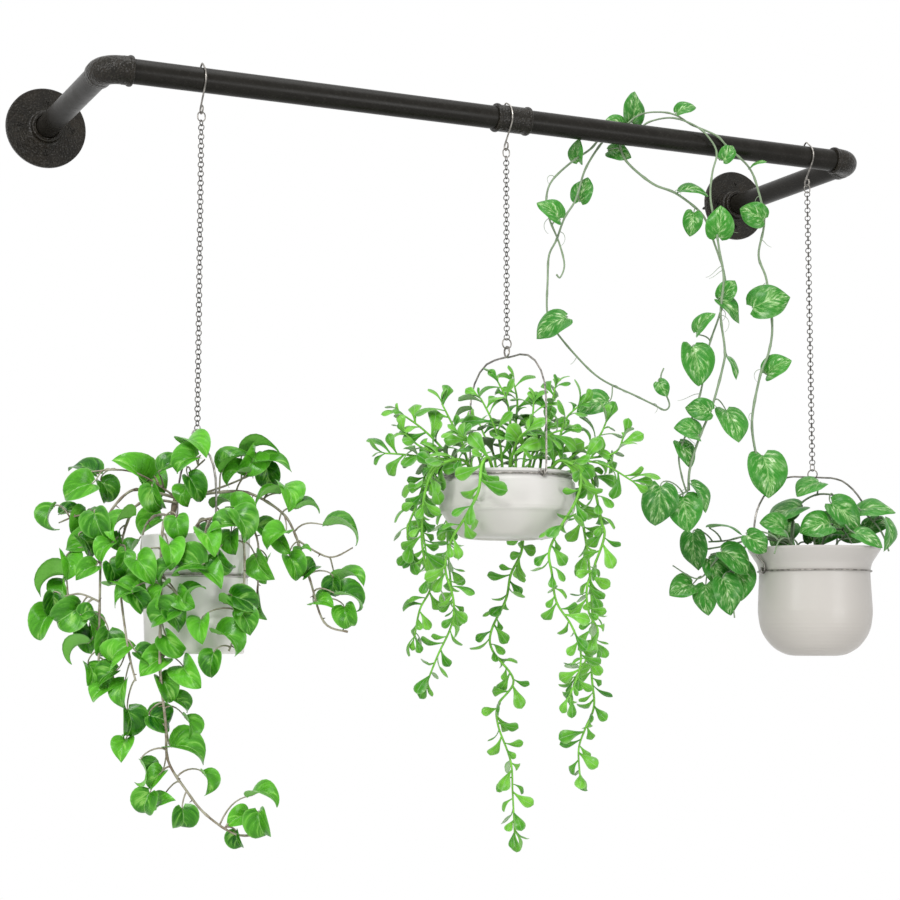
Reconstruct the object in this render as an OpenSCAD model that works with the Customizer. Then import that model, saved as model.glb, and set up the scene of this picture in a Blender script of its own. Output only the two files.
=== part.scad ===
// Hanging plant shelf: a pipe rail screwed to a wall, with three planters
// that hang from it on wire hooks and ring chains.
// X runs along the rail, +Y goes into the wall, +Z is up, in millimetres.
// The origin is the centre of the left flange's back, on the wall.

/* [Rail] */
// Outside diameter of the pipes
pipe_d = 26.7; // [22:0.1:29]
// Wall of the pipes
pipe_wall = 2.9; // [1.5:0.1:4]
// Distance between the two arms
rail_span = 957; // [930:1:1200]
// Distance from the wall to the middle of the rail
rail_reach = 267; // [220:1:330]

/* [Fittings] */
// Metal of a fitting round the pipe
fitting_wall = 2; // [1.2:0.1:3]
// Height of a fitting's end bead over its body
bead_rise = 1.3; // [0.6:0.1:2.5]
// Width of a fitting's end bead
bead_w = 5; // [3:0.5:7]
// Length of pipe that is screwed into a fitting
thread_len = 10; // [7:0.5:12]
// Distance from an elbow's corner to its open ends
elbow_leg = 29; // [28:0.5:36]
// Length of the coupling in the middle of the rail
coupling_len = 44; // [34:1:60]
// Free space round a pipe in its thread
thread_gap = 0.05; // [0.03:0.01:0.1]

/* [Wall flanges] */
// Diameter of a wall flange
flange_d = 94.5; // [84:0.5:110]
// Thickness of a wall flange at its rim
flange_t = 4.6; // [4:0.1:7]
// Outside diameter of a flange's hub
hub_d = 37; // [34:0.5:42]
// Height of a flange's hub over the wall
hub_h = 13; // [9:0.5:18]
// Diameter of the circle of screws
screw_pcd = 59; // [58:0.5:66]
// Diameter of a screw's thread
screw_d = 4.2; // [3.4:0.1:5]
// Diameter of a screw's plain shank, inside the flange
shank_d = 3.8; // [2.8:0.1:3.8]
// Diameter of a screw's head
screw_head_d = 8.6; // [7:0.1:10]
// Length of a screw
screw_len = 38; // [25:1:60]
// Free space round a screw's thread in its hole
screw_gap = 0.3; // [0.1:0.05:0.6]
// Distance of an arm pipe's end from the wall
wall_gap = 2; // [1:0.5:4]

/* [Hooks and chains] */
// Wire of the hooks over the rail
hook_wire = 2; // [1.4:0.1:2.6]
// Inside height of a hook's top over the pipe
hook_rise = 4; // [3:0.5:8]
// Radius of the wire's middle line round the hook's eye
hook_eye_r = 4.5; // [4:0.1:6]
// Distance from the middle of the rail down to the middle of the hook's eye
hook_drop = 32.4; // [30:0.2:40]
// Distance of the hook's rest from the rail
rest_gap = 0.3; // [0.2:0.05:0.5]
// Free play between wires that are threaded through each other
link_play = 0.23; // [0.18:0.01:0.4]
// Wire of the chain links
link_wire = 1.1; // [0.8:0.1:1.3]
// Radius of a chain link's middle line
link_r = 3.2; // [3:0.05:4]
// Wire of the oval link between hook and chain
oval_wire = 1.4; // [1:0.1:1.8]
// Half width of the oval link's middle line
oval_w = 4.1; // [3.8:0.1:5]
// Half height of the oval link's middle line
oval_h = 5.2; // [5.1:0.1:7]
// Wire of the ring at the chain's lower end
ring_wire = 1.6; // [1.2:0.1:2]
// Radius of the lower ring's middle line
ring_r = 5.75; // [5.2:0.05:7]

/* [Bails and pot rings] */
// Wire of the bails
bail_wire = 2.4; // [1.8:0.1:3]
// Radius of the wire's middle line round a bail's loop
bail_loop_r = 6.2; // [5.4:0.1:7]
// Wire of the rings round the pots
band_wire = 2; // [1.6:0.1:2.4]
// Free space round a pot in its ring
band_gap = 0.3; // [0.1:0.05:0.5]
// Free space round a bail's end in the ring's eye
eye_play = 0.5; // [0.35:0.05:0.8]
// Sideways step of a bail's leg from the middle of the eye
leg_step = 3.3; // [3.1:0.1:4]
// Depth of the groove that a ring lies in
groove = 0.8; // [0.4:0.1:1.2]

/* [Left hanger, straight pot] */
// Place of the left hanger along the rail
left_x = 106; // [90:1:130]
// Number of links in the left chain
left_links = 66; // [40:2:80]
// Height of the left bail's top over its ends
left_bail_h = 133; // [115:1:160]
// Radius of the straight pot at its rim
left_pot_r = 57; // [50:0.5:62]
// Radius of the straight pot at its foot
left_foot_r = 51.5; // [46:0.5:54]
// Height of the straight pot
left_pot_h = 123; // [100:1:140]
// Distance from the straight pot's rim down to its ring
left_band_z = 42; // [30:1:60]

/* [Middle hanger, bowl] */
// Place of the middle hanger along the rail
middle_x = 472; // [466:1:490]
// Number of links in the middle chain
middle_links = 42; // [30:2:60]
// Height of the middle bail's top over its ends
middle_bail_h = 138; // [120:1:160]
// Radius of the bowl at its widest
bowl_r = 76.8; // [70:0.2:84]
// Height of the bowl
bowl_h = 74.5; // [66:0.5:90]
// Distance from the bowl's rim down to its ring
bowl_band_z = 5.8; // [5.4:0.2:8]

/* [Right hanger, bell pot] */
// Place of the right hanger along the rail
right_x = 890; // [870:1:900]
// Number of links in the right chain
right_links = 67; // [41:2:81]
// Height of the right bail's top over its ends
right_bail_h = 115; // [105:1:140]
// Radius of the bell pot at its rim
bell_rim_r = 80; // [76:0.5:86]
// Radius of the bell pot at its neck
bell_neck_r = 67; // [62:0.5:68]
// Radius of the bell pot's belly
bell_belly_r = 68.5; // [66:0.5:72]
// Height of the bell pot
bell_h = 130.5; // [110:0.5:150]
// Distance from the bell pot's rim down to its ring
bell_band_z = 28.5; // [22:0.5:36]

/* [Pots and soil] */
// Wall of the pots
pot_wall = 4; // [3:0.1:6]
// Depth of the soil's edge under the rims
soil_drop = 10; // [8:0.5:16]
// Free space round the soil
soil_gap = 0.2; // [0.1:0.05:0.4]

/* [Plants] */
// Width of a broad leaf, as a share of its length
leaf_share = 0.84; // [0.6:0.02:1]
// Thickness of a leaf at its midrib
leaf_t = 1.2; // [0.8:0.1:2]
// Thickness of the trailing stems
stem_d = 2.6; // [1.8:0.1:3.4]
// Length of the bowl plant's small leaves
small_leaf = 26; // [18:1:34]
// Distance between the bowl plant's leaves along a stem
leaf_step = 33; // [20:0.5:50]

/* [Hidden] */

black_paint = [0.17, 0.16, 0.14];
wire_grey = [0.55, 0.54, 0.52];
pot_white = [0.82, 0.81, 0.79];
soil_brown = [0.16, 0.11, 0.08];
pothos_green = [0.2, 0.6, 0.1];
small_leaf_green = [0.35, 0.65, 0.25];
marbled_green = [0.3, 0.6, 0.3];

pipe_r = pipe_d / 2;
fitting_r = pipe_r + thread_gap + fitting_wall;
elbow_bend = elbow_leg - thread_len;
coupling_x = rail_span / 2;

// Distance between the middle lines of two wires that are threaded through each other
function threaded(a, b) = (a + b) / 2 + link_play;

link_pitch = 2 * link_r - link_wire - link_play;
eye_bottom_z = -hook_drop - hook_eye_r;
oval_z = eye_bottom_z + threaded(hook_wire, oval_wire) - oval_h;
chain_top_z = oval_z - oval_h + threaded(oval_wire, link_wire) - link_r;
function chain_end_z(links) = chain_top_z - (links - 1) * link_pitch - link_r;
function ring_z(links) = chain_end_z(links) + threaded(link_wire, ring_wire) - ring_r;
left_ring_z = ring_z(left_links);
middle_ring_z = ring_z(middle_links);

// The right chain ends in one more small oval link
end_link_w = 3.4;
end_link_h = 4.4;
end_link_wire = 1.2;
end_link_z = chain_end_z(right_links) + threaded(link_wire, end_link_wire) - end_link_h;
right_ring_z = end_link_z - end_link_h + threaded(end_link_wire, ring_wire) - ring_r;

// Height of the straight part of each bail's top, of its ends, and of the pots' rims
left_top_z = left_ring_z - ring_r + threaded(ring_wire, bail_wire) - 2 * bail_loop_r;
middle_top_z = middle_ring_z - ring_r + threaded(ring_wire, bail_wire) - 2 * bail_loop_r;
right_top_z = right_ring_z - ring_r + threaded(ring_wire, bail_wire);
left_pin_z = left_top_z - left_bail_h;
middle_pin_z = middle_top_z - middle_bail_h;
right_pin_z = right_top_z - right_bail_h;
eye_sag = eye_play - rest_gap;
left_rim_z = left_pin_z - eye_sag + left_band_z;
middle_rim_z = middle_pin_z - eye_sag + bowl_band_z;
right_rim_z = right_pin_z - eye_sag + bell_band_z;

// Turn of each bail about its chain
left_turn = -91;
middle_turn = -85;
right_turn = -4;

// Radius of the ring round each pot, and of its eyes
bowl_neck_r = bowl_r - 4.4;
left_band_r = straight_r(left_band_z) - groove + band_gap + band_wire / 2;
middle_band_r = bowl_neck_r + band_gap + band_wire / 2;
right_band_r = bell_neck_r + band_gap + band_wire / 2;
eye_r = bail_wire / 2 + eye_play + band_wire / 2;
function straight_r(depth) = left_pot_r - (left_pot_r - left_foot_r) * depth / left_pot_h;

// Points along an arc of radius r round c, in a plane
function arc(c, r, from, to, steps) =
    [for (i = [0:steps]) let (a = from + (to - from) * i / steps) c + r * [cos(a), sin(a)]];

// A smooth curve through the points p, with n steps between two of them
function smooth(p, n = 4) = let (last = len(p) - 1)
    [for (i = [0:last - 1], k = [0:n - (i < last - 1 ? 1 : 0)])
        let (t = k / n, a = p[max(i - 1, 0)], b = p[i], c = p[i + 1], d = p[min(i + 2, last)])
        (2 * b + (c - a) * t + (2 * a - 5 * b + 4 * c - d) * t ^ 2 + (3 * b - a - 3 * c + d) * t ^ 3) / 2];

function unit(v) = v / norm(v);
function tangent(p, i) = unit(p[min(i + 1, len(p) - 1)] - p[max(i - 1, 0)]);
function square_to(n, t) = unit(n - (n * t) * t);
function carried(p) = [for (i = 0, n = square_to(abs(tangent(p, 0).z) < 0.8 ? [0, 0, 1] : [0, 1, 0],
    tangent(p, 0)); i < len(p); i = i + 1, n = square_to(n, tangent(p, min(i, len(p) - 1)))) n];

// A wire or stem that follows the points p, with the diameter d or one for each point
module swept(p, d, sides = 8) {
    normals = carried(p);
    last = len(p) - 1;
    rings = [for (i = [0:last], k = [0:sides - 1])
        let (n = normals[i], b = cross(tangent(p, i), n), a = 360 * k / sides)
        p[i] + (is_list(d) ? d[i] : d) / 2 * (cos(a) * n + sin(a) * b)];
    walls = [for (i = [0:last - 1], k = [0:sides - 1])
        let (a = i * sides + k, b = i * sides + (k + 1) % sides)
        each [[a, a + sides, b + sides], [a, b + sides, b]]];
    polyhedron(rings, concat([[for (k = [0:sides - 1]) k]],
        [[for (k = [sides - 1:-1:0]) last * sides + k]], walls), convexity = 10);
}

// A round ring of wire about the Z axis
module wire_ring(r, d) {
    rotate_extrude($fn = 64) translate([r, 0]) circle(d = d, $fn = 24);
}

module on_rail(x) {
    translate([x, -rail_reach, 0]) children();
}

// +Z of the children points out of the wall
module out_of_wall(x) {
    translate([x, 0, 0]) rotate([90, 0, 0]) children();
}

function head_h() = (screw_head_d - screw_d) / 2;

module at_screws() {
    for (i = [0:3]) rotate(90 * i) translate([screw_pcd / 2, 0, 0]) children();
}

module flange(x) {
    edge = 1.6;
    foot = 3;
    hub_r = hub_d / 2;
    lip = 1.2;
    // The screw heads lie face to face in their countersinks
    sink_z = flange_t - rest_gap - head_h() + screw_gap;
    outline = concat([[0, 0], [flange_d / 2, 0]],
        arc([flange_d / 2 - edge, flange_t - edge], edge, 0, 90, 6),
        arc([hub_r + foot, flange_t + foot], foot, 270, 180, 6),
        arc([hub_r - edge, hub_h - edge], edge, 0, 90, 6), [[0, hub_h]]);
    color(black_paint) out_of_wall(x) difference() {
        rotate_extrude($fn = 96) polygon(outline);
        translate([0, 0, -1]) cylinder(r = pipe_r + thread_gap, h = hub_h + 2, $fn = 64);
        translate([0, 0, hub_h - lip])
            cylinder(r1 = pipe_r + thread_gap, r2 = pipe_r + thread_gap + 1.5 * lip, h = 1.5 * lip, $fn = 64);
        at_screws() {
            translate([0, 0, -1]) cylinder(d = screw_d + 2 * screw_gap, h = flange_t + 2, $fn = 32);
            translate([0, 0, sink_z]) cylinder(d1 = screw_d + 2 * screw_gap,
                d2 = screw_d + 2 * screw_gap + 2 * head_h(), h = head_h(), $fn = 32);
        }
    }
}

// Four cross-head screws, their points in the wall behind the flange
module flange_screws(x) {
    slot = 1.2;
    tip = 5;
    color(black_paint) out_of_wall(x) at_screws() difference() {
        translate([0, 0, flange_t - screw_len]) rotate_extrude($fn = 32) polygon([[0, 0], [0.3, 0],
            [screw_d / 2, tip], [screw_d / 2, screw_len - flange_t],
            [shank_d / 2, screw_len - flange_t + 0.2], [shank_d / 2, screw_len - head_h() - rest_gap],
            [screw_d / 2, screw_len - head_h() - rest_gap],
            [screw_head_d / 2, screw_len - rest_gap], [screw_head_d / 2, screw_len], [0, screw_len]]);
        for (turn = [20, 110]) rotate(turn) translate([-screw_head_d / 3, -slot / 2, flange_t - 1.4])
            cube([screw_head_d / 1.5, slot, 3]);
    }
}

module pipe(from, to) {
    color(black_paint) translate([0, 0, from]) difference() {
        cylinder(r = pipe_r, h = to - from, $fn = 64);
        translate([0, 0, -1]) cylinder(r = pipe_r - pipe_wall, h = to - from + 2, $fn = 64);
    }
}

module arm_pipe(x) {
    out_of_wall(x) pipe(wall_gap, rail_reach - elbow_bend);
}

module left_rail_pipe() {
    on_rail(0) rotate([0, 90, 0]) pipe(elbow_bend, coupling_x - coupling_len / 2 + thread_len);
}

module right_rail_pipe() {
    on_rail(0) rotate([0, 90, 0])
        pipe(coupling_x + coupling_len / 2 - thread_len, rail_span - elbow_bend);
}

// The raised bead round a fitting, with its middle at height z
function bead(z) = concat([[fitting_r, z - bead_w / 2]],
    [for (q = arc([0, 0], 1, -60, 60, 8)) [fitting_r + bead_rise * q.x, z + bead_w / 2 * q.y]],
    [[fitting_r, z + bead_w / 2]]);

module socket(beaded) {
    overlap = 0.5;
    h = thread_len + overlap;
    rotate_extrude($fn = 64) polygon(concat([[0, 0], [fitting_r, 0]],
        beaded ? bead(h - bead_w / 2) : [[fitting_r, h - 0.4]], [[fitting_r - 0.4, h], [0, h]]));
}

module elbow_turn(r) {
    translate([elbow_bend, elbow_bend, 0]) rotate([0, 0, 180])
        rotate_extrude(angle = 90, $fn = 96) translate([elbow_bend, 0]) circle(r = r, $fn = 64);
}

module elbow(x, side) {
    color(black_paint) on_rail(x) mirror([side, 0, 0]) difference() {
        union() {
            elbow_turn(fitting_r - 0.25);
            translate([elbow_bend - 0.5, 0, 0]) rotate([0, 90, 0]) socket(true);
            translate([0, elbow_bend - 0.5, 0]) rotate([-90, 0, 0]) socket(false);
        }
        elbow_turn(pipe_r - pipe_wall);
        translate([elbow_bend, 0, 0]) rotate([0, 90, 0])
            cylinder(r = pipe_r + thread_gap, h = thread_len + 1, $fn = 64);
        translate([0, elbow_bend, 0]) rotate([-90, 0, 0])
            cylinder(r = pipe_r + thread_gap, h = thread_len + 1, $fn = 64);
    }
}

module rail_coupling() {
    half = coupling_len / 2;
    color(black_paint) on_rail(coupling_x) rotate([0, 90, 0]) difference() {
        rotate_extrude($fn = 64) polygon(concat([[0, -half], [fitting_r - 0.4, -half]],
            bead(bead_w / 2 - half), bead(half - bead_w / 2), [[fitting_r - 0.4, half], [0, half]]));
        translate([0, 0, -half - 1]) cylinder(r = pipe_r - pipe_wall, h = coupling_len + 2, $fn = 64);
        for (side = [0, 1]) mirror([0, 0, side]) translate([0, 0, half - thread_len])
            cylinder(r = pipe_r + thread_gap, h = thread_len + 1, $fn = 64);
    }
}

// The hook's wire across the rail: over the top, round the front and into its eye
function hook_route(held_r) =
    let (round_r = held_r + hook_wire / 2 + rest_gap, tip_r = 3.6,
        tip_z = pipe_r + hook_rise + hook_wire / 2 - tip_r,
        flank = asin((round_r - tip_r) / tip_z),
        leave = -asin((round_r + hook_eye_r) / hook_drop),
        open = acos(1 - (hook_wire + rest_gap) / hook_eye_r))
    concat(arc([0, 0], round_r, 205, 180 - flank, 6), arc([0, tip_z], tip_r, 180 - flank, flank, 4),
        arc([0, 0], round_r, flank, leave, 7),
        arc([0, -hook_drop], hook_eye_r, leave + 180, leave + 540 - open, 13));

module hook(x, held_r) {
    color(wire_grey) on_rail(x) swept([for (q = hook_route(held_r)) [0, -q.x, q.y]], hook_wire, 6);
}

// An oval link that stands in the plane turned by angle about Z
module oval_link(w, h, d, angle) {
    color(wire_grey) rotate([90, 0, angle]) union() {
        for (end = [0, 180]) rotate(end) translate([0, h - w, 0])
            rotate_extrude(angle = 180, $fn = 64) translate([w, 0]) circle(d = d, $fn = 24);
        for (side = [-w, w]) translate([side, 0, 0]) rotate([90, 0, 0])
            cylinder(d = d, h = 2 * (h - w), center = true, $fn = 24);
    }
}

module top_link(x) {
    on_rail(x) translate([0, 0, oval_z]) oval_link(oval_w, oval_h, oval_wire, 0);
}

// A strand of round links, each a quarter turn from the next
module chain(x, links, first_turn) {
    color(wire_grey) on_rail(x) for (i = [0:links - 1])
        translate([0, 0, chain_top_z - i * link_pitch])
            rotate([90, 0, first_turn + 90 * (i % 2)]) wire_ring(link_r, link_wire);
}

module lower_ring(x, z, angle) {
    color(wire_grey) on_rail(x) translate([0, 0, z]) rotate([90, 0, angle]) wire_ring(ring_r, ring_wire);
}

module right_end_link() {
    on_rail(right_x) translate([0, 0, end_link_z]) oval_link(end_link_w, end_link_h, end_link_wire, 10);
}

// A bail's end in the ring's eye and its leg's start, as [out, sideways, up] from the eye's pin
function leg_start(eye_s, height) = let (bend = 1.8)
    [for (q = concat([[leg_step, bend + 3]], arc([leg_step - bend, bend], bend, 0, -90, 2),
        arc([bend - leg_step, bend], bend, -90, -180, 2), [[-leg_step, 6]]))
        [eye_s, q.x, q.y - height]];

// The rest of a leg with a round shoulder, in to the bail's top
function shoulder(half, flat, drop, height) = concat([[half, -leg_step, 14 - height]],
    [for (a = [0:18:90]) [flat + (half - flat) * cos(a), -leg_step * cos(a), -drop * (1 - sin(a))]]);

// The loop in a bail's top, one full turn with its two strands side by side where they cross
bail_cross = (bail_wire + rest_gap) / 2;
loop = [for (i = [0:12]) let (a = 30 * i - 90)
    [bail_loop_r * cos(a), bail_cross * (i / 6 - 1), bail_loop_r * (1 + sin(a))]];

left_leg = let (s = left_band_r + eye_r, half = left_pot_r + 2.5)
    concat(leg_start(s, left_bail_h), shoulder(half, 12, 50, left_bail_h));
middle_leg = let (s = middle_band_r + eye_r, half = s + 0.6)
    concat(leg_start(s, middle_bail_h), shoulder(half, 28, 55, middle_bail_h));

// The right bail's legs pass outside the pot's flared rim
right_leg = let (s = right_band_r + eye_r, wide = bell_rim_r + 5, rim = bell_band_z - right_bail_h)
    concat(leg_start(s, right_bail_h), smooth([[s + 1, -leg_step, 9 - right_bail_h],
        [wide - 4, -leg_step, rim - 10], [wide, -leg_step, rim + 6], [wide - 1, -leg_step, -60],
        [wide - 5, -3, -43], [wide - 14, -2.5, -27], [wide - 27, -1.6, -13], [wide - 43, -0.6, -3], [26, 0, 0]], 2));

function mirrored(leg) = [for (i = [len(leg) - 1:-1:0]) [-leg[i].x, -leg[i].y, leg[i].z]];
function bail_points(leg, top) = concat(leg, top, mirrored(leg));
left_bail_points = bail_points(mirrored_x(left_leg), concat([[-6, -bail_cross, 0]], loop, [[6, bail_cross, 0]]));
middle_bail_points = bail_points(mirrored_x(middle_leg),
    concat([[-14, -bail_cross, 0]], loop, [[14, bail_cross, 0]]));
right_bail_points = bail_points(mirrored_x(right_leg), []);
function mirrored_x(leg) = [for (q = leg) [-q.x, q.y, q.z]];

module bail(x, top_z, turn, points) {
    color(wire_grey) on_rail(x) translate([0, 0, top_z]) rotate(turn) swept(points, bail_wire, 6);
}

// The ring round a pot, with an eye at each end of the bail's axis
module pot_ring(x, pin_z, turn, r) {
    color(wire_grey) on_rail(x) translate([0, 0, pin_z - eye_sag]) rotate(turn) union() {
        rotate(90) rotate_extrude($fn = 128) translate([r, 0]) circle(d = band_wire, $fn = 24);
        for (side = [-1, 1]) translate([side * (r + eye_r), 0, 0]) rotate([90, 0, 0]) wire_ring(eye_r, band_wire);
    }
}

// Outer lines of the pots as [radius, height], from the rim down, and the same without grooves
left_side = [for (i = [0:8]) let (z = 1.5 + (left_pot_h - 3.5) * i / 8) [straight_r(z), -z]];
left_outer = concat([[left_pot_r - 1.2, 0], [left_pot_r - 0.3, -0.4], left_side[0]],
    [for (q = [[-2.6, 0], [-1.4, groove], [1.4, groove], [2.6, 0]])
        [straight_r(left_band_z + q.x) - q.y, -left_band_z - q.x]],
    [left_side[8], [left_foot_r - 0.5, 0.5 - left_pot_h], [left_foot_r - 2, -left_pot_h]]);
bowl_side = smooth([[bowl_r, -12 - bowl_band_z / 10], [bowl_r, 34 - bowl_h], [bowl_r - 4.5, 26 - bowl_h],
    [bowl_r - 12, 15 - bowl_h], [bowl_r - 21, 4.5 - bowl_h], [bowl_r - 27, 1 - bowl_h], [bowl_r - 35, -bowl_h]], 4);
bowl_outer = concat([[bowl_neck_r - 0.6, 0], [bowl_neck_r + 0.6, -0.5], [bowl_neck_r + 1, -1.5],
    [bowl_neck_r + 1, 2.6 - bowl_band_z], [bowl_neck_r, 1.5 - bowl_band_z], [bowl_neck_r, -1.5 - bowl_band_z]],
    bowl_side);
bowl_inner = concat([[bowl_neck_r - 0.6, 0], [bowl_neck_r, -1.5 - bowl_band_z]], bowl_side);
bell_outer = concat([[bell_rim_r - 1, 0], [bell_rim_r, -0.8]], smooth([[bell_rim_r - 0.6, -3],
    [bell_rim_r - 6.5, -12], [bell_neck_r + 2, 9 - bell_band_z], [bell_neck_r, -bell_band_z],
    [bell_neck_r, -bell_band_z - 10], [bell_belly_r, 62 - bell_h], [bell_belly_r, 50 - bell_h],
    [bell_belly_r - 2.5, 34 - bell_h], [bell_belly_r - 8, 22 - bell_h], [bell_belly_r - 18, 10 - bell_h],
    [bell_belly_r - 32, 2 - bell_h], [bell_belly_r - 44, -bell_h]], 3));

// The points p moved in by d, towards the inside of the pot
function inset(p, d) = [for (i = [0:len(p) - 1]) let (t = tangent(p, i)) p[i] + d * [t.y, -t.x]];
function inner_line(p, d, floor_z) = [for (q = inset(p, d)) if (q.y > floor_z + 1) q];

// The foot stands on a rim round a shallow recess
module pot(x, rim_z, outer, inner) {
    foot = outer[len(outer) - 1];
    hollow = inner_line(inner, pot_wall, foot.y + pot_wall);
    low = hollow[len(hollow) - 1];
    color(pot_white) on_rail(x) translate([0, 0, rim_z]) rotate_extrude($fn = 128) polygon(concat(
        [[0, foot.y + 1.5], [foot.x - 6, foot.y + 1.5], [foot.x - 5, foot.y]],
        [for (i = [len(outer) - 1:-1:0]) outer[i]], [[hollow[0].x + 0.6, 0]],
        [for (q = hollow) if (q.y < -1) q], [[low.x - 1, foot.y + pot_wall], [0, foot.y + pot_wall]]));
}

module soil(x, rim_z, inner) {
    pot_floor = inner[len(inner) - 1].y + pot_wall;
    hollow = inner_line(inner, pot_wall, pot_floor);
    line = [for (q = inset(hollow, soil_gap)) if (q.y < -soil_drop - 1) q];
    top_r = lookup(-soil_drop, [for (i = [len(hollow) - 1:-1:0]) [hollow[i].y, hollow[i].x]]) - 2 * soil_gap;
    color(soil_brown) on_rail(x) translate([0, 0, rim_z]) rotate_extrude($fn = 96) polygon(concat(
        [[0, pot_floor + soil_gap], [hollow[len(hollow) - 1].x - 1 - soil_gap, pot_floor + soil_gap]],
        [for (i = [len(line) - 1:-1:0]) line[i]], [[top_r, -soil_drop], [0, -soil_drop]]));
}

// The plants are laid out as [right, front, up] from the middle of the pot's rim, as they are
// seen by someone who stands a little to the left of the shelf
view_turn = -25;
function seen(p) = [p.x * cos(view_turn) + p.y * sin(view_turn), p.x * sin(view_turn) - p.y * cos(view_turn), p.z];
to_right = seen([1, 0, 0]);
to_front = seen([0, 1, 0]);

// A share from 0 to 1 that varies evenly from leaf to leaf
function varied(i, step) = i * step - floor(i * step);

// Outline of a broad leaf as [along, across] for a leaf of length 1
broad = [[0, 0], [0.14, 0.46], [0.62, 0.42], [1, 0], [0.62, -0.42], [0.14, -0.46]];
slim = [[0, 0], [0.78, 0.2], [1, 0], [0.78, -0.2]];

// Points of one leaf: its outline, then its midrib's front and back
function leaf_points(outline, base, along, face, length, share, fold) =
    let (across = cross(face, along))
    concat([for (q = outline) base + length * (q.x * along + share * q.y * across
        + (fold * abs(q.y) - 0.22 * q.x ^ 2) * face)],
        [for (s = [1, -1]) base + (0.42 * along - 0.04 * face) * length + s * leaf_t / 2 * face]);

module leaf(p) {
    n = len(p) - 2;
    polyhedron(p, [for (i = [0:n - 1]) each [[i, (i + 1) % n, n], [(i + 1) % n, i, n + 1]]], convexity = 4);
}

function nearest(p, cloud) = let (d = [for (q = cloud) norm(q - p)], m = min(d)) cloud[search(m, d)[0]];

// How far the points p must move out to stay clear of the pot whose outer line is given
function pot_depth(p, outer) = let (line = [for (i = [len(outer) - 1:-1:0]) [outer[i].y, outer[i].x]])
    max([for (q = p) q.z > 3 || q.z < line[0][0] - 3 ? -1 : lookup(q.z, line) + 4.5 - norm([q.x, q.y])]);

// The leaf moved clear of the pot and of the bail's wire
function moved_clear(p, outer, wire, turn, tries = 5) =
    let (mid = p[len(p) - 2], depth = pot_depth(p, outer),
        near = min([for (q = p, w = wire) norm(q - w)]),
        out = unit([mid.x, mid.y, 0]), side = [-sin(turn), cos(turn), 0],
        step = max(depth, 0) * out + (near < 8 ? 6 * sign(mid * side) * side : [0, 0, 0]))
    tries == 0 || (depth <= 0 && near >= 8) ? p
        : moved_clear([for (q = p) q + step], outer, wire, turn, tries - 1);

function turned(p, a) = [for (q = p) [q.x * cos(a) - q.y * sin(a), q.x * sin(a) + q.y * cos(a), q.z]];
function spaced(p, gap) = [for (i = [0:len(p) - 2]) let (n = ceil(norm(p[i + 1] - p[i]) / gap))
    each [for (k = [0:n - 1]) p[i] + (p[i + 1] - p[i]) * k / n]];

// One broad leaf from its row [right, front, up, length, angle], its middle at that place
function broad_leaf(i, at, length, angle) =
    let (pitch = 50 * varied(i, 0.618) - 15, roll = 70 * varied(i, 0.755) - 35,
        level = cos(angle) * to_right + sin(angle) * [0, 0, 1],
        along = unit(cos(pitch) * level - sin(pitch) * to_front),
        face0 = square_to(to_front, along), across0 = cross(face0, along),
        face = cos(roll) * face0 + sin(roll) * across0)
    leaf_points(broad, at - 0.5 * length * along, along, face, length, leaf_share, 0.35);

// The thicker foot of a stem, and the number of stems that have one
crowns = 8;
module crown(route, d) {
    hull() {
        translate(route[0]) cube(1.1 * d, center = true);
        translate(route[1]) cube(0.8 * d, center = true);
    }
}

// A plant of stems and broad leaves, each leaf on a stalk from the nearest stem
module leafy(stems, rows, thick, outer, wire, turn) {
    routes = [for (s = stems) [for (q = s) seen(q)]];
    cloud = [for (s = routes) each spaced(s, 8)];
    for (i = [0:len(stems) - 1]) {
        n = len(routes[i]);
        swept(routes[i], [for (k = [0:n - 1]) thick[i] * (1 - 0.35 * k / n)], 3);
        if (i < crowns) crown(routes[i], thick[i]);
    }
    for (i = [0:len(rows) - 1]) {
        r = rows[i];
        p = moved_clear(broad_leaf(i, seen([r[0], r[1], r[2]]), r[3], r[4]), outer, wire, turn);
        leaf(p);
        stalk(nearest(p[0], cloud), p[0], 1.3);
    }
}

// A thin stalk between two points, let into both
module stalk(a, b, d) {
    if (norm(b - a) > d) swept([a, b + unit(b - a) * 1.5], d, 3);
}

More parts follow.
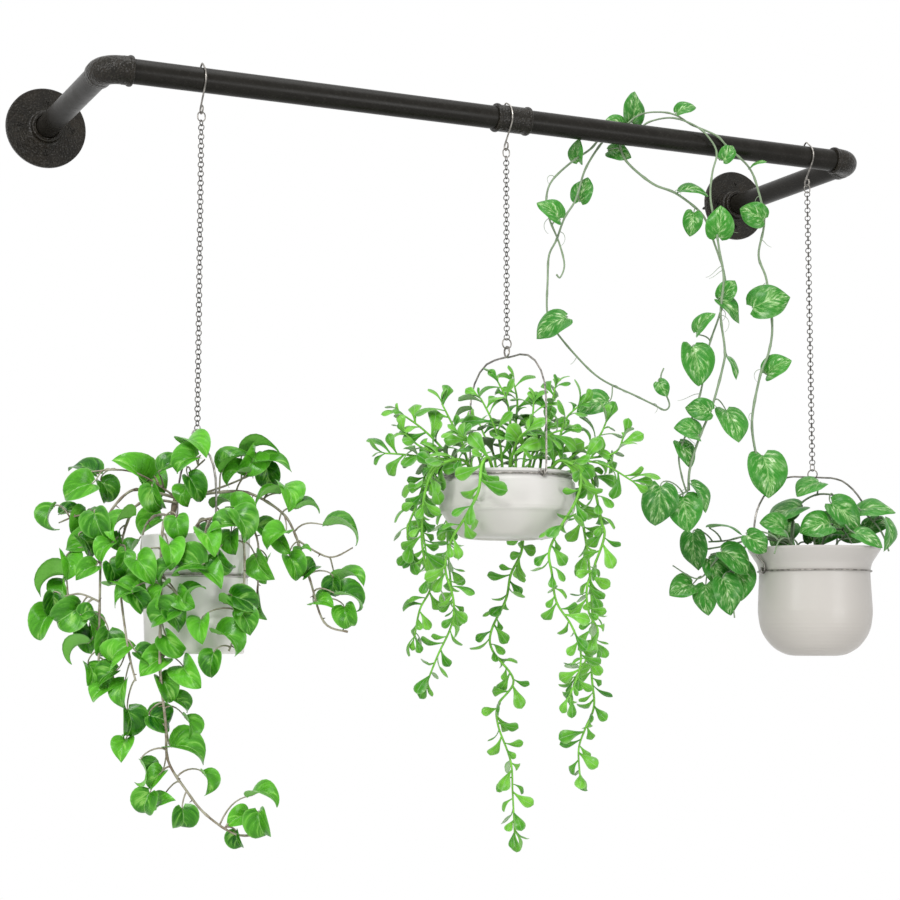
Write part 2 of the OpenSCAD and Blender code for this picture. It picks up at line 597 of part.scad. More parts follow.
// Stems of the straight pot's plant, and the thickness of each at its start
left_stems = [
    [[-20, 0, -14], [-24, 0, 5], [-25, 0, 20], [-20, 0, 48]],
    [[-20, 0, 40], [-45, 10, 46], [-65, 30, 45], [-85, 40, 20], [-90, 50, -10], [-90, 55, -70], [-90, 55, -130]],
    [[-20, 2, 35], [-40, 20, 36], [-60, 40, 25], [-70, 60, -30], [-60, 65, -110], [-50, 68, -150]],
    [[-22, 10, -14], [-22, 20, 14], [-25, 46, 18], [-26, 68, -10], [-25, 74, -80], [-25, 70, -140], [-20, 60, -195],
        [-18, 55, -230], [0, 50, -260], [20, 45, -285], [50, 40, -305], [78, 35, -305]],
    [[-15, 0, 40], [20, 10, 45], [55, 10, 45], [90, 5, 25], [105, 0, 0], [120, 0, -45], [135, -5, -90], [160, -5, -100]],
    [[0, 15, -14], [5, 22, 12], [30, 38, 16], [52, 48, 5], [57, 52, -40], [50, 52, -100], [30, 58, -160]],
    [[-20, 0, 40], [-5, 8, 65], [10, 12, 80]],
    [[-20, 0, 40], [-50, 10, 60], [-75, 20, 68], [-110, 20, 66]],
    [[-15, 0, 38], [35, 0, 55], [70, 0, 72], [85, 0, 85]],
    [[108, 0, -5], [140, 0, -22], [165, 0, -12]],
    [[-90, 55, -70], [-110, 55, -62], [-130, 48, -65]],
    [[-85, 40, 20], [-115, 35, 20], [-138, 32, 12]],
    [[-20, -5, -14], [-30, -12, 20], [-50, -32, 22], [-64, -48, 0], [-66, -52, -80]],
    [[5, -5, -14], [15, -15, 20], [42, -38, 22], [60, -55, -5], [58, -56, -90]],
    [[-5, -15, -14], [0, -35, 20], [8, -66, 8], [12, -72, -50], [5, -66, -110]]];
left_thick = [8, 3.4, 3, 3.4, 3.2, 3, 2.4, 2.4, 2.4, 2.2, 2.2, 2.2, 3, 3, 3];

// Leaves of the straight pot's plant: [right, front, up, length, angle]
left_leaves = [
    [-120, 10, 70, 36, 154], [-120, 35, 45, 40, 204], [-95, 5, 45, 32, -60], [-70, 15, 70, 44, 125],
    [-20, 22, 72, 32, 20], [-45, -5, 52, 36, -60], [-35, 40, 35, 36, -75], [15, 40, 95, 38, -10],
    [5, 45, 45, 34, -60], [-145, 30, 15, 34, -110], [-70, 65, 5, 42, 212], [-115, 30, -10, 40, 190],
    [-105, 60, -40, 28, 210], [-145, 40, -50, 44, 195], [-60, 70, -55, 42, -5],
    [-125, 55, -85, 40, 215], [-25, 76, -86, 38, 200], [0, 76, -36, 44, 180], [-8, 62, 2, 32, -80],
    [70, 5, 92, 42, 30], [75, -8, 62, 32, -80], [42, 22, 60, 32, 190], [100, 10, 40, 38, -55],
    [55, 34, 25, 32, 0], [55, 60, 5, 40, -55], [85, 35, -5, 34, 200], [158, 4, 5, 46, -5],
    [105, 15, -35, 32, -65], [75, 35, -36, 36, -60], [25, 78, -12, 34, -60], [165, 0, -65, 38, -10],
    [60, 56, -70, 36, -20], [40, 60, -108, 38, -30], [-65, 62, -120, 38, 50], [-115, 45, -120, 36, 200],
    [-90, 40, -162, 34, 205], [-60, 50, -195, 38, -80], [-35, 66, -135, 34, 215],
    [-25, 50, -190, 36, -20], [0, 52, -225, 46, -5], [-45, 50, -245, 34, -70], [20, 45, -255, 28, -60],
    [-5, 45, -290, 32, -85], [77, 42, -297, 36, -80], [80, 35, -268, 36, 10], [5, 62, -146, 36, -50],
    [-10, 70, -115, 34, -50], [-60, -60, 15, 34, 200], [-75, -55, -20, 34, -110],
    [-70, -60, -60, 32, -70], [30, -40, 35, 34, 20], [70, -62, 5, 34, -40], [66, -64, -35, 34, -110],
    [62, -62, -75, 32, -80], [8, -76, 12, 36, 90], [15, -80, -30, 34, -60], [0, -76, -70, 34, -110]];

// Stems of the bowl's plant, upright ones first and then those that trail over the rim
middle_upright = [
    [[-5, 10, -13], [-8, 12, 30], [-18, 12, 60], [-30, 12, 84]], [[2, 0, -13], [4, 0, 50], [0, 0, 82], [-10, 0, 104]],
    [[10, 0, -13], [10, -5, 50], [12, -5, 82], [8, -5, 104]], [[15, 10, -13], [22, 12, 35], [28, 12, 60], [30, 12, 80]],
    [[35, 0, -13], [42, 0, 40], [50, 0, 75], [55, 0, 98]], [[45, 10, -13], [58, 15, 35], [66, 15, 60], [80, 18, 74]],
    [[-40, 10, -13], [-50, 12, 30], [-64, 12, 58], [-74, 12, 78]], [[-50, 12, -13], [-70, 15, 22], [-95, 15, 48], [-120, 15, 66]],
    [[-52, 14, -13], [-66, 18, 14], [-98, 20, 28], [-116, 20, 44]], [[-50, 20, -13], [-66, 26, 10], [-112, 26, 18], [-138, 25, 20]],
    [[48, 15, -13], [66, 20, 12], [100, 15, 36], [112, 15, 58]], [[50, 18, -13], [67, 20, 10], [118, 20, 20], [130, 20, 38]],
    [[50, 22, -13], [66, 28, 9], [104, 30, 8], [140, 28, -12]], [[-10, -35, -13], [-14, -48, 25], [-25, -60, 50], [-30, -70, 64]],
    [[25, -35, -13], [35, -48, 25], [45, -60, 45], [52, -70, 58]], [[0, 35, -13], [5, 50, 18], [12, 60, 34], [20, 70, 40]],
    [[-25, 30, -13], [-35, 45, 20], [-45, 58, 32], [-55, 66, 36]], [[20, 25, -13], [30, 35, 25], [48, 42, 40], [62, 48, 44]]];
middle_trailing = [
    [[-45, 32, -13], [-60, 42, 10], [-82, 45, 4], [-94, 45, -18], [-102, 44, -40], [-112, 42, -68], [-106, 40, -92]],
    [[-36, 34, -13], [-50, 48, 10], [-78, 62, 2], [-92, 58, -25], [-96, 54, -70], [-93, 52, -100], [-86, 50, -130],
        [-98, 48, -155], [-104, 46, -186]],
    [[-14, 45, -13], [-22, 66, 10], [-30, 84, 2], [-34, 88, -28], [-48, 82, -55], [-63, 74, -80], [-70, 68, -110],
        [-61, 64, -145], [-63, 60, -172], [-78, 58, -205], [-88, 55, -230]],
    [[8, -45, -13], [12, -66, 10], [16, -86, 2], [20, -90, -30], [20, -84, -80], [6, -70, -112], [0, -62, -141],
        [-17, -55, -177], [-16, -50, -200], [8, -46, -234], [-10, -42, -262], [-10, -38, -285], [4, -34, -325],
        [6, -30, -360], [8, -28, -404]],
    [[40, 30, -13], [56, 38, 10], [76, 46, 2], [80, 52, -16], [72, 58, -40], [56, 64, -66], [44, 64, -92],
        [47, 60, -116], [52, 58, -147], [68, 55, -172], [78, 52, -198], [77, 50, -222], [66, 48, -250]],
    [[48, 5, -13], [66, 8, 10], [90, 10, 2], [98, 15, -20], [104, 22, -54], [108, 22, -72], [98, 22, -102],
        [88, 22, -130], [90, 22, -158], [100, 22, -180], [88, 20, -208], [72, 18, -234]],
    [[32, -32, -13], [48, -48, 10], [70, -66, 2], [84, -58, -30], [94, -46, -90], [98, -36, -160], [96, -26, -225],
        [98, -20, -262], [88, -18, -287], [80, -15, -310], [81, -12, -340]],
    [[-26, -40, -13], [-38, -56, 10], [-60, -78, 2], [-68, -80, -40], [-66, -75, -100], [-60, -70, -150]],
    [[-48, -12, -13], [-66, -15, 10], [-92, -20, 2], [-98, -20, -40], [-92, -18, -90]]];

// A small leaf on a stem, at a point along it, alternately to each side
function small_leaf_at(i, at, along, open) =
    let (roll = 90 * (i % 2) + 137 * floor(i / 2) + (i % 2) * 90, ref = square_to(to_front, along),
        side = cos(roll) * cross(along, ref) + sin(roll) * ref * 0.8,
        dir = unit(cos(open) * along + sin(open) * unit(side)),
        face = square_to(to_front + 0.5 * along, dir))
    leaf_points(slim, at, dir, face, small_leaf * (0.7 + 0.45 * varied(i, 0.618)), 0.9, 0.15);

module sprig(route, d, number, outer, wire, turn) {
    p = [for (q = route) seen(q)];
    n = len(p);
    swept(p, [for (k = [0:n - 1]) d * (1 - 0.5 * k / n)], 3);
    if (number < 7 * crowns) crown(p, d);
    spots = spaced(p, leaf_step);
    for (i = [1:len(spots) - 1]) let (along = unit(spots[i] - spots[i - 1])) if (spots[i].z > 8 || i > 3)
        leaf(moved_clear(small_leaf_at(i + number, spots[i] - 0.5 * along, along, 55), outer, wire, turn, 3));
    leaf(small_leaf_at(number, p[n - 1] - unit(p[n - 1] - p[n - 2]), unit(p[n - 1] - p[n - 2]), 8));
}

right_stems = [
    [[-25, 5, -14], [-34, 8, 3], [-56, 12, 10], [-82, 10, 9], [-105, 15, 3], [-132, 20, -2]],
    [[-20, 10, -14], [-28, 0, 6], [-62, -4, 15], [-86, 0, 14], [-107, 6, 9], [-130, 14, 7]],
    [[-80, 10, 9], [-96, 22, -15], [-105, 26, -45], [-102, 28, -85]],
    [[-105, 15, 3], [-125, 24, -18], [-145, 24, -38], [-175, 22, -22]],
    [[-25, 0, -14], [-26, -4, 20], [-18, -8, 50], [6, -6, 66], [35, 0, 62], [60, 4, 44], [80, 6, 22], [90, 6, -4]],
    [[5, 0, -14], [14, 8, 16], [32, 12, 22], [44, 12, 5]],
    [[0, 15, -14], [-4, 25, 10], [-2, 35, 22]],
    [[25, -15, -14], [35, -25, 10], [55, -40, 14]],
    [[-10, -25, -14], [-15, -44, 12], [-32, -61, 15]],
    [[-30, 25, -14], [-38, 40, 8], [-52, 60, 6], [-60, 70, -10]]];
right_thick = [3, 3, 2.6, 2.4, 3, 2.6, 2.6, 2.6, 2.6, 2.6];
right_leaves = [
    [-107, 32, 24, 42, 180], [-60, 12, 40, 50, 185], [-25, -10, 48, 34, 190], [-15, 18, 72, 38, 200],
    [0, 32, 28, 42, -90], [76, 0, 48, 46, -30], [45, 20, 40, 50, -40], [32, -15, 36, 46, -20],
    [20, -4, 16, 30, -90], [70, 18, 12, 36, -60], [-62, 62, 0, 36, -60], [-145, 22, -5, 50, -95],
    [-90, 38, -20, 46, -40], [-78, 30, -50, 42, -60], [-100, 30, -62, 54, -80],
    [-132, 28, -62, 56, -85], [-165, 22, -48, 34, 170], [-30, -62, 22, 44, 220], [55, -44, 22, 44, -30],
    [10, -45, 30, 42, 80], [-25, -92, 2, 40, -90], [80, -20, 30, 36, 20]];

// Vines over the rail, as [along the rail, out from its middle line, up]
vine_stems = [
    [[811, 18, -382], [805, 18, -338], [818, 18, -281], [829, 20, -254], [834, 20, -220], [827, 20, -165],
        [816, 20, -135], [824, 20, -92], [811, 20, -49], [798, 20, -28], [779, 20, -14], [765, 16.5, -3],
        [753, 14.5, 7], [738, 9, 14], [720, 2, 22], [702, 0, 31], [684, -4, 34], [661, -10, 31], [645, -16, 20],
        [638, -19, 6]],
    [[712, 18, -424], [713, 20, -398], [726, 22, -362], [746, 22, -322], [763, 24, -272], [765, 24, -252],
        [760, 24, -212], [765, 24, -168], [759, 24, -132], [755, 24, -108], [748, 24, -72], [750, 24, -42],
        [757, 22, -16], [746, 19, 2], [728, 12, 17], [698, -2, 28], [670, -10, 22], [656, -17, 10]],
    [[640, -19, 8], [634, -19, -8], [641, -14, -30], [672, -8, -54], [700, -2, -64], [729, 4, -84], [742, 8, -101],
        [756, 10, -122], [772, 12, -157], [775, 12, -185], [765, 12, -214], [752, 12, -243], [743, 14, -268],
        [735, 14, -309], [712, 14, -359], [704, 12, -383], [708, 12, -408], [713, 14, -426]],
    [[632, -19, 6], [616, -19, -2], [603, -18, -16], [582, -12, -46], [567, -8, -84], [550, -4, -108], [537, 0, -136],
        [526, 2, -156], [523, 4, -186], [521, 6, -222], [527, 8, -240], [552, 14, -271], [580, 24, -299],
        [624, 28, -317], [650, 26, -326], [667, 22, -331], [675, 20, -324], [670, 18, -308], [665, 18, -292],
        [669, 18, -281]],
    [[625, -20, 4], [610, -20, 0], [593, -18, -18], [562, -12, -40], [534, -6, -66], [526, -4, -89], [529, -2, -112],
        [539, 2, -139], [545, 4, -165], [539, 5, -181], [534, 5, -178]],
    [[656, -19, 6], [644, -20, 0], [630, -20, 4]],
    [[811, 18, -380], [820, 20, -396], [826, 22, -420]],
    [[712, 18, -420], [700, 18, -424], [688, 18, -430]]];
vine_thick = [2.4, 2.4, 2.4, 2.2, 2.2, 2.2, 2.2, 2];
vine_leaves = [
    [645, -20, 36, 38, 100], [627, -21, 20, 26, 170], [714, 4, 40, 26, 30], [565, -14, -28, 26, -70],
    [620, -20, -18, 22, -20], [576, -6, -66, 32, -110], [508, 0, -103, 34, -60], [720, 6, -59, 36, 5],
    [729, 12, -99, 24, -100], [762, 30, -92, 38, -80], [798, 26, -78, 36, -20],
    [778, 20, -188, 42, -30], [837, 26, -184, 48, 15], [742, 18, -215, 36, -110],
    [729, 20, -253, 34, -90], [510, 12, -240, 40, 200], [590, 34, -322, 42, 190],
    [841, 26, -268, 30, 30], [733, 22, -283, 30, -90], [731, 24, -323, 30, 190],
    [717, 24, -347, 36, -150], [720, 24, -382, 36, -80], [676, 22, -440, 52, -100],
    [711, 24, -446, 50, -90], [741, 20, -428, 44, -55], [781, 22, -340, 50, -75],
    [826, 26, -404, 54, -90]];

// What lies below the soil's top is cut away
module above_soil(x, rim_z, top_r) {
    on_rail(x) translate([0, 0, rim_z]) difference() {
        children();
        translate([0, 0, soil_gap - soil_drop - 30]) cylinder(r = top_r - pot_wall, h = 30, $fn = 24);
    }
}

module left_plant() {
    color(pothos_green) above_soil(left_x, left_rim_z, left_pot_r) leafy(left_stems, left_leaves, left_thick,
        left_outer, wire_from_rim(left_bail_points, left_turn, left_top_z - left_rim_z), left_turn);
}

function wire_from_rim(points, turn, up) = turned([for (q = points) q + [0, 0, up]], turn);

module middle_plant() {
    wire = wire_from_rim(middle_bail_points, middle_turn, middle_top_z - middle_rim_z);
    color(small_leaf_green) above_soil(middle_x, middle_rim_z, bowl_neck_r) {
        for (i = [0:len(middle_upright) - 1]) sprig(middle_upright[i], 2.2, 7 * i, bowl_outer, wire, middle_turn);
        for (i = [0:len(middle_trailing) - 1])
            sprig(middle_trailing[i], stem_d, 200 + 5 * i, bowl_outer, wire, middle_turn);
    }
}

module right_plant() {
    color(marbled_green) above_soil(right_x, right_rim_z, bell_neck_r) leafy(right_stems, right_leaves, right_thick,
        bell_outer, wire_from_rim(right_bail_points, right_turn, right_top_z - right_rim_z), right_turn);
}

// The vines lie over the rail's right half, and hang down before and behind it
module right_vines() {
    routes = [for (s = vine_stems) [for (q = s) [q.x - right_x, -q.y, q.z]]];
    cloud = [for (s = routes) each spaced(s, 8)];
    color(marbled_green) on_rail(right_x) {
        for (i = [0:len(routes) - 1]) {
            swept(routes[i], vine_thick[i], 3);
            crown(routes[i], vine_thick[i]);
        }
        for (i = [0:len(vine_leaves) - 1]) {
            r = vine_leaves[i];
            p = broad_leaf(i, [r[0] - right_x, -r[1], r[2]], r[3], r[4]);
            leaf(p);
            stalk(nearest(p[0], cloud), p[0], 1.2);
        }
    }
}

flange(0);  // left_flange
flange(rail_span);  // right_flange
flange_screws(0);  // left_flange_screws
flange_screws(rail_span);  // right_flange_screws
arm_pipe(0);  // left_arm_pipe
arm_pipe(rail_span);  // right_arm_pipe
elbow(0, 0);  // left_elbow
elbow(rail_span, 1);  // right_elbow
left_rail_pipe();
right_rail_pipe();
rail_coupling();
hook(left_x, pipe_r);  // left_hook
hook(middle_x, fitting_r);  // middle_hook
hook(right_x, pipe_r);  // right_hook
top_link(left_x);  // left_oval_link
top_link(middle_x);  // middle_oval_link
top_link(right_x);  // right_oval_link
chain(left_x, left_links, 45);  // left_chain
chain(middle_x, middle_links, 45);  // middle_chain
chain(right_x, right_links, -45);  // right_chain
right_end_link();
lower_ring(left_x, left_ring_z, 5);  // left_lower_ring
lower_ring(middle_x, middle_ring_z, 5);  // middle_lower_ring
lower_ring(right_x, right_ring_z, -50);  // right_lower_ring
bail(left_x, left_top_z, left_turn, left_bail_points);  // left_bail
bail(middle_x, middle_top_z, middle_turn, middle_bail_points);  // middle_bail
bail(right_x, right_top_z, right_turn, right_bail_points);  // right_bail
pot_ring(left_x, left_pin_z, left_turn, left_band_r);  // left_pot_ring
pot_ring(middle_x, middle_pin_z, middle_turn, middle_band_r);  // middle_pot_ring
pot_ring(right_x, right_pin_z, right_turn, right_band_r);  // right_pot_ring
pot(left_x, left_rim_z, left_outer, left_side);  // left_pot
pot(middle_x, middle_rim_z, bowl_outer, bowl_inner);  // middle_pot
pot(right_x, right_rim_z, bell_outer, bell_outer);  // right_pot
soil(left_x, left_rim_z, left_side);  // left_soil
soil(middle_x, middle_rim_z, bowl_inner);  // middle_soil
soil(right_x, right_rim_z, bell_outer);  // right_soil
left_plant();
middle_plant();
right_plant();
right_vines();
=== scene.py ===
"""Hanging plant shelf: black pipe on two wall flanges, with three potted plants on hooks and chains.

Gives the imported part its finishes, and leaves, stems and soil in place of the plain solids.
"""

import math
import random

import bpy
from bpy.props import FloatProperty, FloatVectorProperty, IntProperty, PointerProperty
from mathutils import Matrix, Vector, kdtree, noise


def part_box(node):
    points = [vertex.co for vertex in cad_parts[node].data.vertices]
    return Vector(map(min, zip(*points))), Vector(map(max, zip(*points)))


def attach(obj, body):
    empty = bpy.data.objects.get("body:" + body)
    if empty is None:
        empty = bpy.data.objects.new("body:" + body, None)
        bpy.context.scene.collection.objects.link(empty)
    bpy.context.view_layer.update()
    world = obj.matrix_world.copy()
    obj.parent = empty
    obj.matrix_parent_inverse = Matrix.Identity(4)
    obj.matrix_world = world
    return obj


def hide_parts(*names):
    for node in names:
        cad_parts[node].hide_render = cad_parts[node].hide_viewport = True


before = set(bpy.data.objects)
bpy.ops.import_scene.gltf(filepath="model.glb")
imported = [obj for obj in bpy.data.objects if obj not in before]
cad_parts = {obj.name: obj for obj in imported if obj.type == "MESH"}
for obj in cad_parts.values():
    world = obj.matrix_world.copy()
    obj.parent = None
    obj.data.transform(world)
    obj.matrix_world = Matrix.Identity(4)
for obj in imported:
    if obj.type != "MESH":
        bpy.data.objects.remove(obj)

bl_info = {
    "name": "Hanging plant shelf",
    "version": (1, 0, 0),
    "blender": (4, 5, 0),
    "location": "3D View > Sidebar > Plant shelf",
    "description": "Finishes, plants and a studio for a shelf of pipe with three hanging pots",
    "category": "Object",
}

MM = 0.001
SIDES = ("left", "middle", "right")
UP = Vector((0, 0, 1))


def tint(red, green, blue):
    """A colour written as a screen shows it, 0 to 255, as Blender stores it."""
    return tuple(
        c / 12.92 if c <= 0.04045 else ((c + 0.055) / 1.055) ** 2.4
        for c in (red / 255, green / 255, blue / 255)
    )


def scaled(shade, *shares):
    """A colour times one share, or times one each for red, green and blue."""
    return [c * share for c, share in zip(shade, shares * 3 if len(shares) == 1 else shares)]


def colour(name, description, rgb):
    return FloatVectorProperty(
        name=name, description=description, default=tint(*rgb), subtype="COLOR", size=3, min=0, max=1
    )


def distance(name, description, default, low, high):
    return FloatProperty(name=name, description=description, default=default, min=low, max=high, unit="LENGTH")


class PlantShelfPipework(bpy.types.PropertyGroup):
    pipe: colour("Pipe", "Black lacquer of the rail and the arms", (26, 24, 20))
    fitting: colour("Fittings", "Black iron of the flanges, elbows and coupling", (20, 18, 14))
    rust: colour("Brown tinge", "Brown in the hollows of the cast surface", (34, 28, 19))
    screw: colour("Screws", "Darkened steel of the screws", (52, 50, 47))
    grain: distance("Grain", "Size of the pebbles of the cast surface", 0.0026, 0.0005, 0.01)


class PlantShelfWires(bpy.types.PropertyGroup):
    wire: colour("Wire", "Galvanised wire of the hooks, bails and rings", (156, 152, 146))
    # The chains' darker grey is partly their own duller wire and partly painted shade between their crowded links.
    chain: colour("Chains", "Darker wire of the small links", (108, 106, 102))


class PlantShelfPots(bpy.types.PropertyGroup):
    left: colour("Left pot", "Glaze of the straight pot", (240, 236, 236))
    middle: colour("Middle pot", "Glaze of the bowl", (212, 210, 206))
    right: colour("Right pot", "Glaze of the bell-shaped pot", (194, 190, 185))
    soil: colour("Soil", "Dry top of the potting soil", (74, 55, 40))
    crumbs: IntProperty(name="Crumbs", description="Loose crumbs on each pot's soil", default=90, min=0, max=400)


class PlantShelfPlants(bpy.types.PropertyGroup):
    pothos_deep: colour("Pothos, deep", "Deepest green of the left plant's leaves", (0, 78, 0))
    pothos_bright: colour("Pothos, bright", "Brightest green of the left plant's leaves", (104, 196, 48))
    pothos_back: colour("Pothos, underside", "Underside of the left plant's leaves", (120, 190, 80))
    small_bright: colour("Small leaves", "Upper side of the middle plant's leaves", (130, 208, 66))
    small_back: colour("Small leaves, underside", "Underside of the middle plant's leaves", (166, 196, 150))
    marbled_deep: colour("Marbled leaves", "Green of the right plant's leaves", (42, 122, 30))
    marbled_pale: colour("Marbling", "Pale streaks of the right plant's leaves", (176, 222, 140))
    stalk: colour("Stalks", "Leaf stalks of the left plant", (166, 162, 142))
    bark: colour("Old stems", "Old stems and root nubs", (116, 102, 84))
    vine: colour("Vines", "Grey-green vines of the right plant", (134, 156, 122))
    small_leaf: distance("Small leaf", "Length of a small leaf of the middle plant", 0.029, 0.01, 0.04)
    small_gap: distance("Small leaf spacing", "Distance along a stem between two small leaves", 0.008, 0.005, 0.04)
    seed: IntProperty(name="Seed", description="Varies the leaves and crumbs", default=7, min=0, max=999)


class PlantShelfStage(bpy.types.PropertyGroup):
    floor_drop: distance("Floor", "Height of the floor under the wall flanges", -1.25, -4, -0.9)
    lens: FloatProperty(
        name="Lens", description="Focal length of the camera", default=78.26, min=20, max=200, unit="CAMERA"
    )
    softness: distance("Lamp size", "Width of the main lamp", 2.2, 0.2, 5)


class Graph:
    """The nodes of a node group, or of a material with its shader."""

    def __init__(self, tree, made=None, shader=None):
        self.tree, self.made, self.shader = tree, made, shader

    def link(self, value, node, key):
        """Gives a socket a constant, or the output of another node."""
        if isinstance(value, bpy.types.NodeSocket):
            self.tree.links.new(value, node.inputs[key])
        else:
            node.inputs[key].default_value = value

    def put(self, kind, sockets=None, **settings):
        """Adds a node with its settings, and gives its sockets their values."""
        node = self.tree.nodes.new("ShaderNode" + kind)
        for key, value in settings.items():
            setattr(node, key, value)
        for key, value in (sockets or {}).items():
            self.link(value, node, key)
        return node

    def use(self, group, sockets):
        return self.put("Group", sockets, node_tree=group).outputs

    def calc(self, operation, a, b=0.0, clamp=False):
        return self.put("Math", {0: a, 1: b}, operation=operation, use_clamp=clamp).outputs[0]

    def times(self, a, b, clamp=False):
        return self.calc("MULTIPLY", a, b, clamp)

    def plus(self, a, b):
        return self.calc("ADD", a, b)

    def minus(self, a, b):
        return self.calc("SUBTRACT", a, b)

    def step(self, value, low, high, out_low=0.0, out_high=1.0):
        """A smooth step of a value from one level to another."""
        sockets = {"Value": value, "From Min": low, "From Max": high, "To Min": out_low, "To Max": out_high}
        return self.put("MapRange", sockets, interpolation_type="SMOOTHSTEP").outputs["Result"]

    def blend(self, share, a, b):
        """A share of the second colour over the first."""
        a, b = (c if isinstance(c, bpy.types.NodeSocket) else (*c, 1.0) for c in (a, b))
        return self.put("Mix", {0: share, 6: a, 7: b}, data_type="RGBA", clamp_factor=True).outputs[2]

    def layers(self, shade, *coats):
        """Coats over a colour, one after another, each as [mask, strength, colour]."""
        for mask, strength, coat in coats:
            shade = self.blend(self.times(mask, strength), shade, coat)
        return shade

    def place(self, stretch=None):
        """Where a point is on the object, in metres, and stretched by three factors if they are given."""
        at = self.put("TexCoord").outputs["Object"]
        return self.put("Mapping", {"Vector": at, "Scale": stretch}).outputs[0] if stretch else at

    def noise(self, at, scale, detail, **more):
        return self.put("TexNoise", {"Vector": at, "Scale": scale, "Detail": detail, **more}).outputs[0]

    def spots(self, scale, low, high):
        return self.use(mottling(), {"Vector": self.place(), "Scale": scale, "Low": low, "High": high})

    def dust(self, amount):
        return self.use(settled_dust(), {"Vector": self.place(), "Amount": amount})["Dust"]

    def give(self, results):
        """Makes the outputs of a node group, and links its results to them."""
        for key in results:
            self.tree.interface.new_socket(name=key, in_out="OUTPUT", socket_type="NodeSocketFloat")
        out = self.tree.nodes.new("NodeGroupOutput")
        for key, value in results.items():
            self.link(value, out, key)
        return self.tree

    def finish(self, shade, rough, height, distance, strength):
        """Gives the shader its colour, its roughness and its bump, which is a distance in metres."""
        bump = self.put("Bump", {"Strength": strength, "Distance": distance, "Height": height})
        for value, key in ((shade, "Base Color"), (rough, "Roughness"), (bump.outputs[0], "Normal")):
            self.link(value, self.shader, key)
        return self.made


def shared(build):
    """Makes a node group once, under the name of the function that builds it."""

    def group():
        name = build.__name__.replace("_", " ").capitalize()
        return bpy.data.node_groups.get(name) or build(name)

    return group


def effect(name, inputs):
    """An empty node group and its inputs, of which the ones without a default are vectors."""
    tree = bpy.data.node_groups.new(name, "ShaderNodeTree")
    for key, default in inputs.items():
        kind = "NodeSocketVector" if default is None else "NodeSocketFloat"
        made = tree.interface.new_socket(name=key, in_out="INPUT", socket_type=kind)
        if default is not None:
            made.default_value = default
    return Graph(tree), tree.nodes.new("NodeGroupInput").outputs


@shared
def mottling(name):
    """Soft cloudy patches, and a finer speckle on them."""
    n, given = effect(name, {"Vector": None, "Scale": 60.0, "Low": 0.4, "High": 0.65})
    cloud = n.noise(given["Vector"], given["Scale"], 4.0, Roughness=0.6, Distortion=0.4)
    fine = n.noise(given["Vector"], n.times(given["Scale"], 9.0), 2.0)
    return n.give({"Patches": n.step(cloud, given["Low"], given["High"]), "Speckle": n.step(fine, 0.55, 0.7)})


@shared
def settled_dust(name):
    """Fine dust, most of it on what faces up."""
    n, given = effect(name, {"Vector": None, "Amount": 0.3})
    facing = n.put("SeparateXYZ", {0: n.put("NewGeometry").outputs["Normal"]}).outputs["Z"]
    film = n.noise(given["Vector"], 90.0, 5.0, Roughness=0.7)
    thick = n.times(n.step(facing, -0.1, 0.9, 0.25, 1.0), n.step(film, 0.4, 0.7))
    return n.give({"Dust": n.times(thick, given["Amount"], clamp=True)})


@shared
def cast_grain(name):
    """The pebbled skin of a casting: its height, its hollows, and the tops of its pebbles, which are lit up as painted
    glints.
    """
    n, given = effect(name, {"Vector": None, "Scale": 450.0, "Lumps": 0.5})
    cells = n.put("TexVoronoi", {"Vector": given["Vector"], "Scale": given["Scale"], "Smoothness": 0.6},
                  feature="SMOOTH_F1")
    lumps = n.noise(given["Vector"], n.times(given["Scale"], 0.3), 5.0, Roughness=0.55)
    pebble = n.minus(1.0, cells.outputs["Distance"])
    height = n.plus(n.times(pebble, 0.6), n.times(lumps, given["Lumps"]))
    return n.give({"Height": height, "Hollows": n.step(height, 0.62, 0.45), "Pebbles": n.step(pebble, 0.5, 0.85)})


@shared
def leaf_veins(name):
    """Midrib, side veins and margin of a leaf whose UV runs across it and then along it."""
    n, given = effect(name, {"Leaf UV": None, "Veins": 8.0, "Slant": 2.2, "Width": 0.06})
    uv = n.put("SeparateXYZ", {0: given["Leaf UV"]}).outputs
    across = n.calc("ABSOLUTE", n.times(n.minus(uv["X"], 0.5), 2.0))
    count = n.minus(n.times(uv["Y"], given["Veins"]), n.times(across, given["Slant"]))
    wave = n.calc("ABSOLUTE", n.minus(n.calc("FRACT", count), 0.5))
    side = n.times(n.step(wave, 0.12, 0.0), n.step(across, 0.98, 0.55))
    return n.give({"Midrib": n.step(across, given["Width"], 0.0), "Side veins": side,
                   "Margin": n.step(across, 0.9, 1.0)})


@shared
def leaf_streaks(name):
    """Streaks that run from a leaf's midrib to its edge, other ones on each half of each leaf."""
    n, given = effect(name, {"Leaf UV": None, "Share": 0.5, "Long": 6.0, "Dense": 1.3})
    uv = n.put("SeparateXYZ", {0: given["Leaf UV"]}).outputs
    across = n.calc("ABSOLUTE", n.minus(uv["X"], 0.5))
    ray = n.minus(n.times(uv["Y"], 7.0), n.times(across, 6.0))
    half = n.times(n.calc("GREATER_THAN", uv["X"], 0.5), 7.3)
    lane = n.put("CombineXYZ", {0: n.times(across, given["Long"]), 1: n.times(ray, given["Dense"]),
                                2: n.plus(n.times(given["Share"], 40.0), half)})
    streak = n.noise(lane.outputs[0], 1.0, 5.0, Roughness=0.62, Distortion=0.5)
    return n.give({"Streak": streak, "Inner": n.step(across, 0.48, 0.08, 0.15, 1.0)})


def material(name, **finish):
    """The graph of a new material, with the plain values of its finish set on its shader."""
    made = bpy.data.materials.new(name)
    made.use_nodes = True
    shader = made.node_tree.nodes["Principled BSDF"]
    for socket, value in finish.items():
        shader.inputs[socket.replace("_", " ").title().replace("Ior", "IOR")].default_value = value
    return Graph(made.node_tree, made, shader)


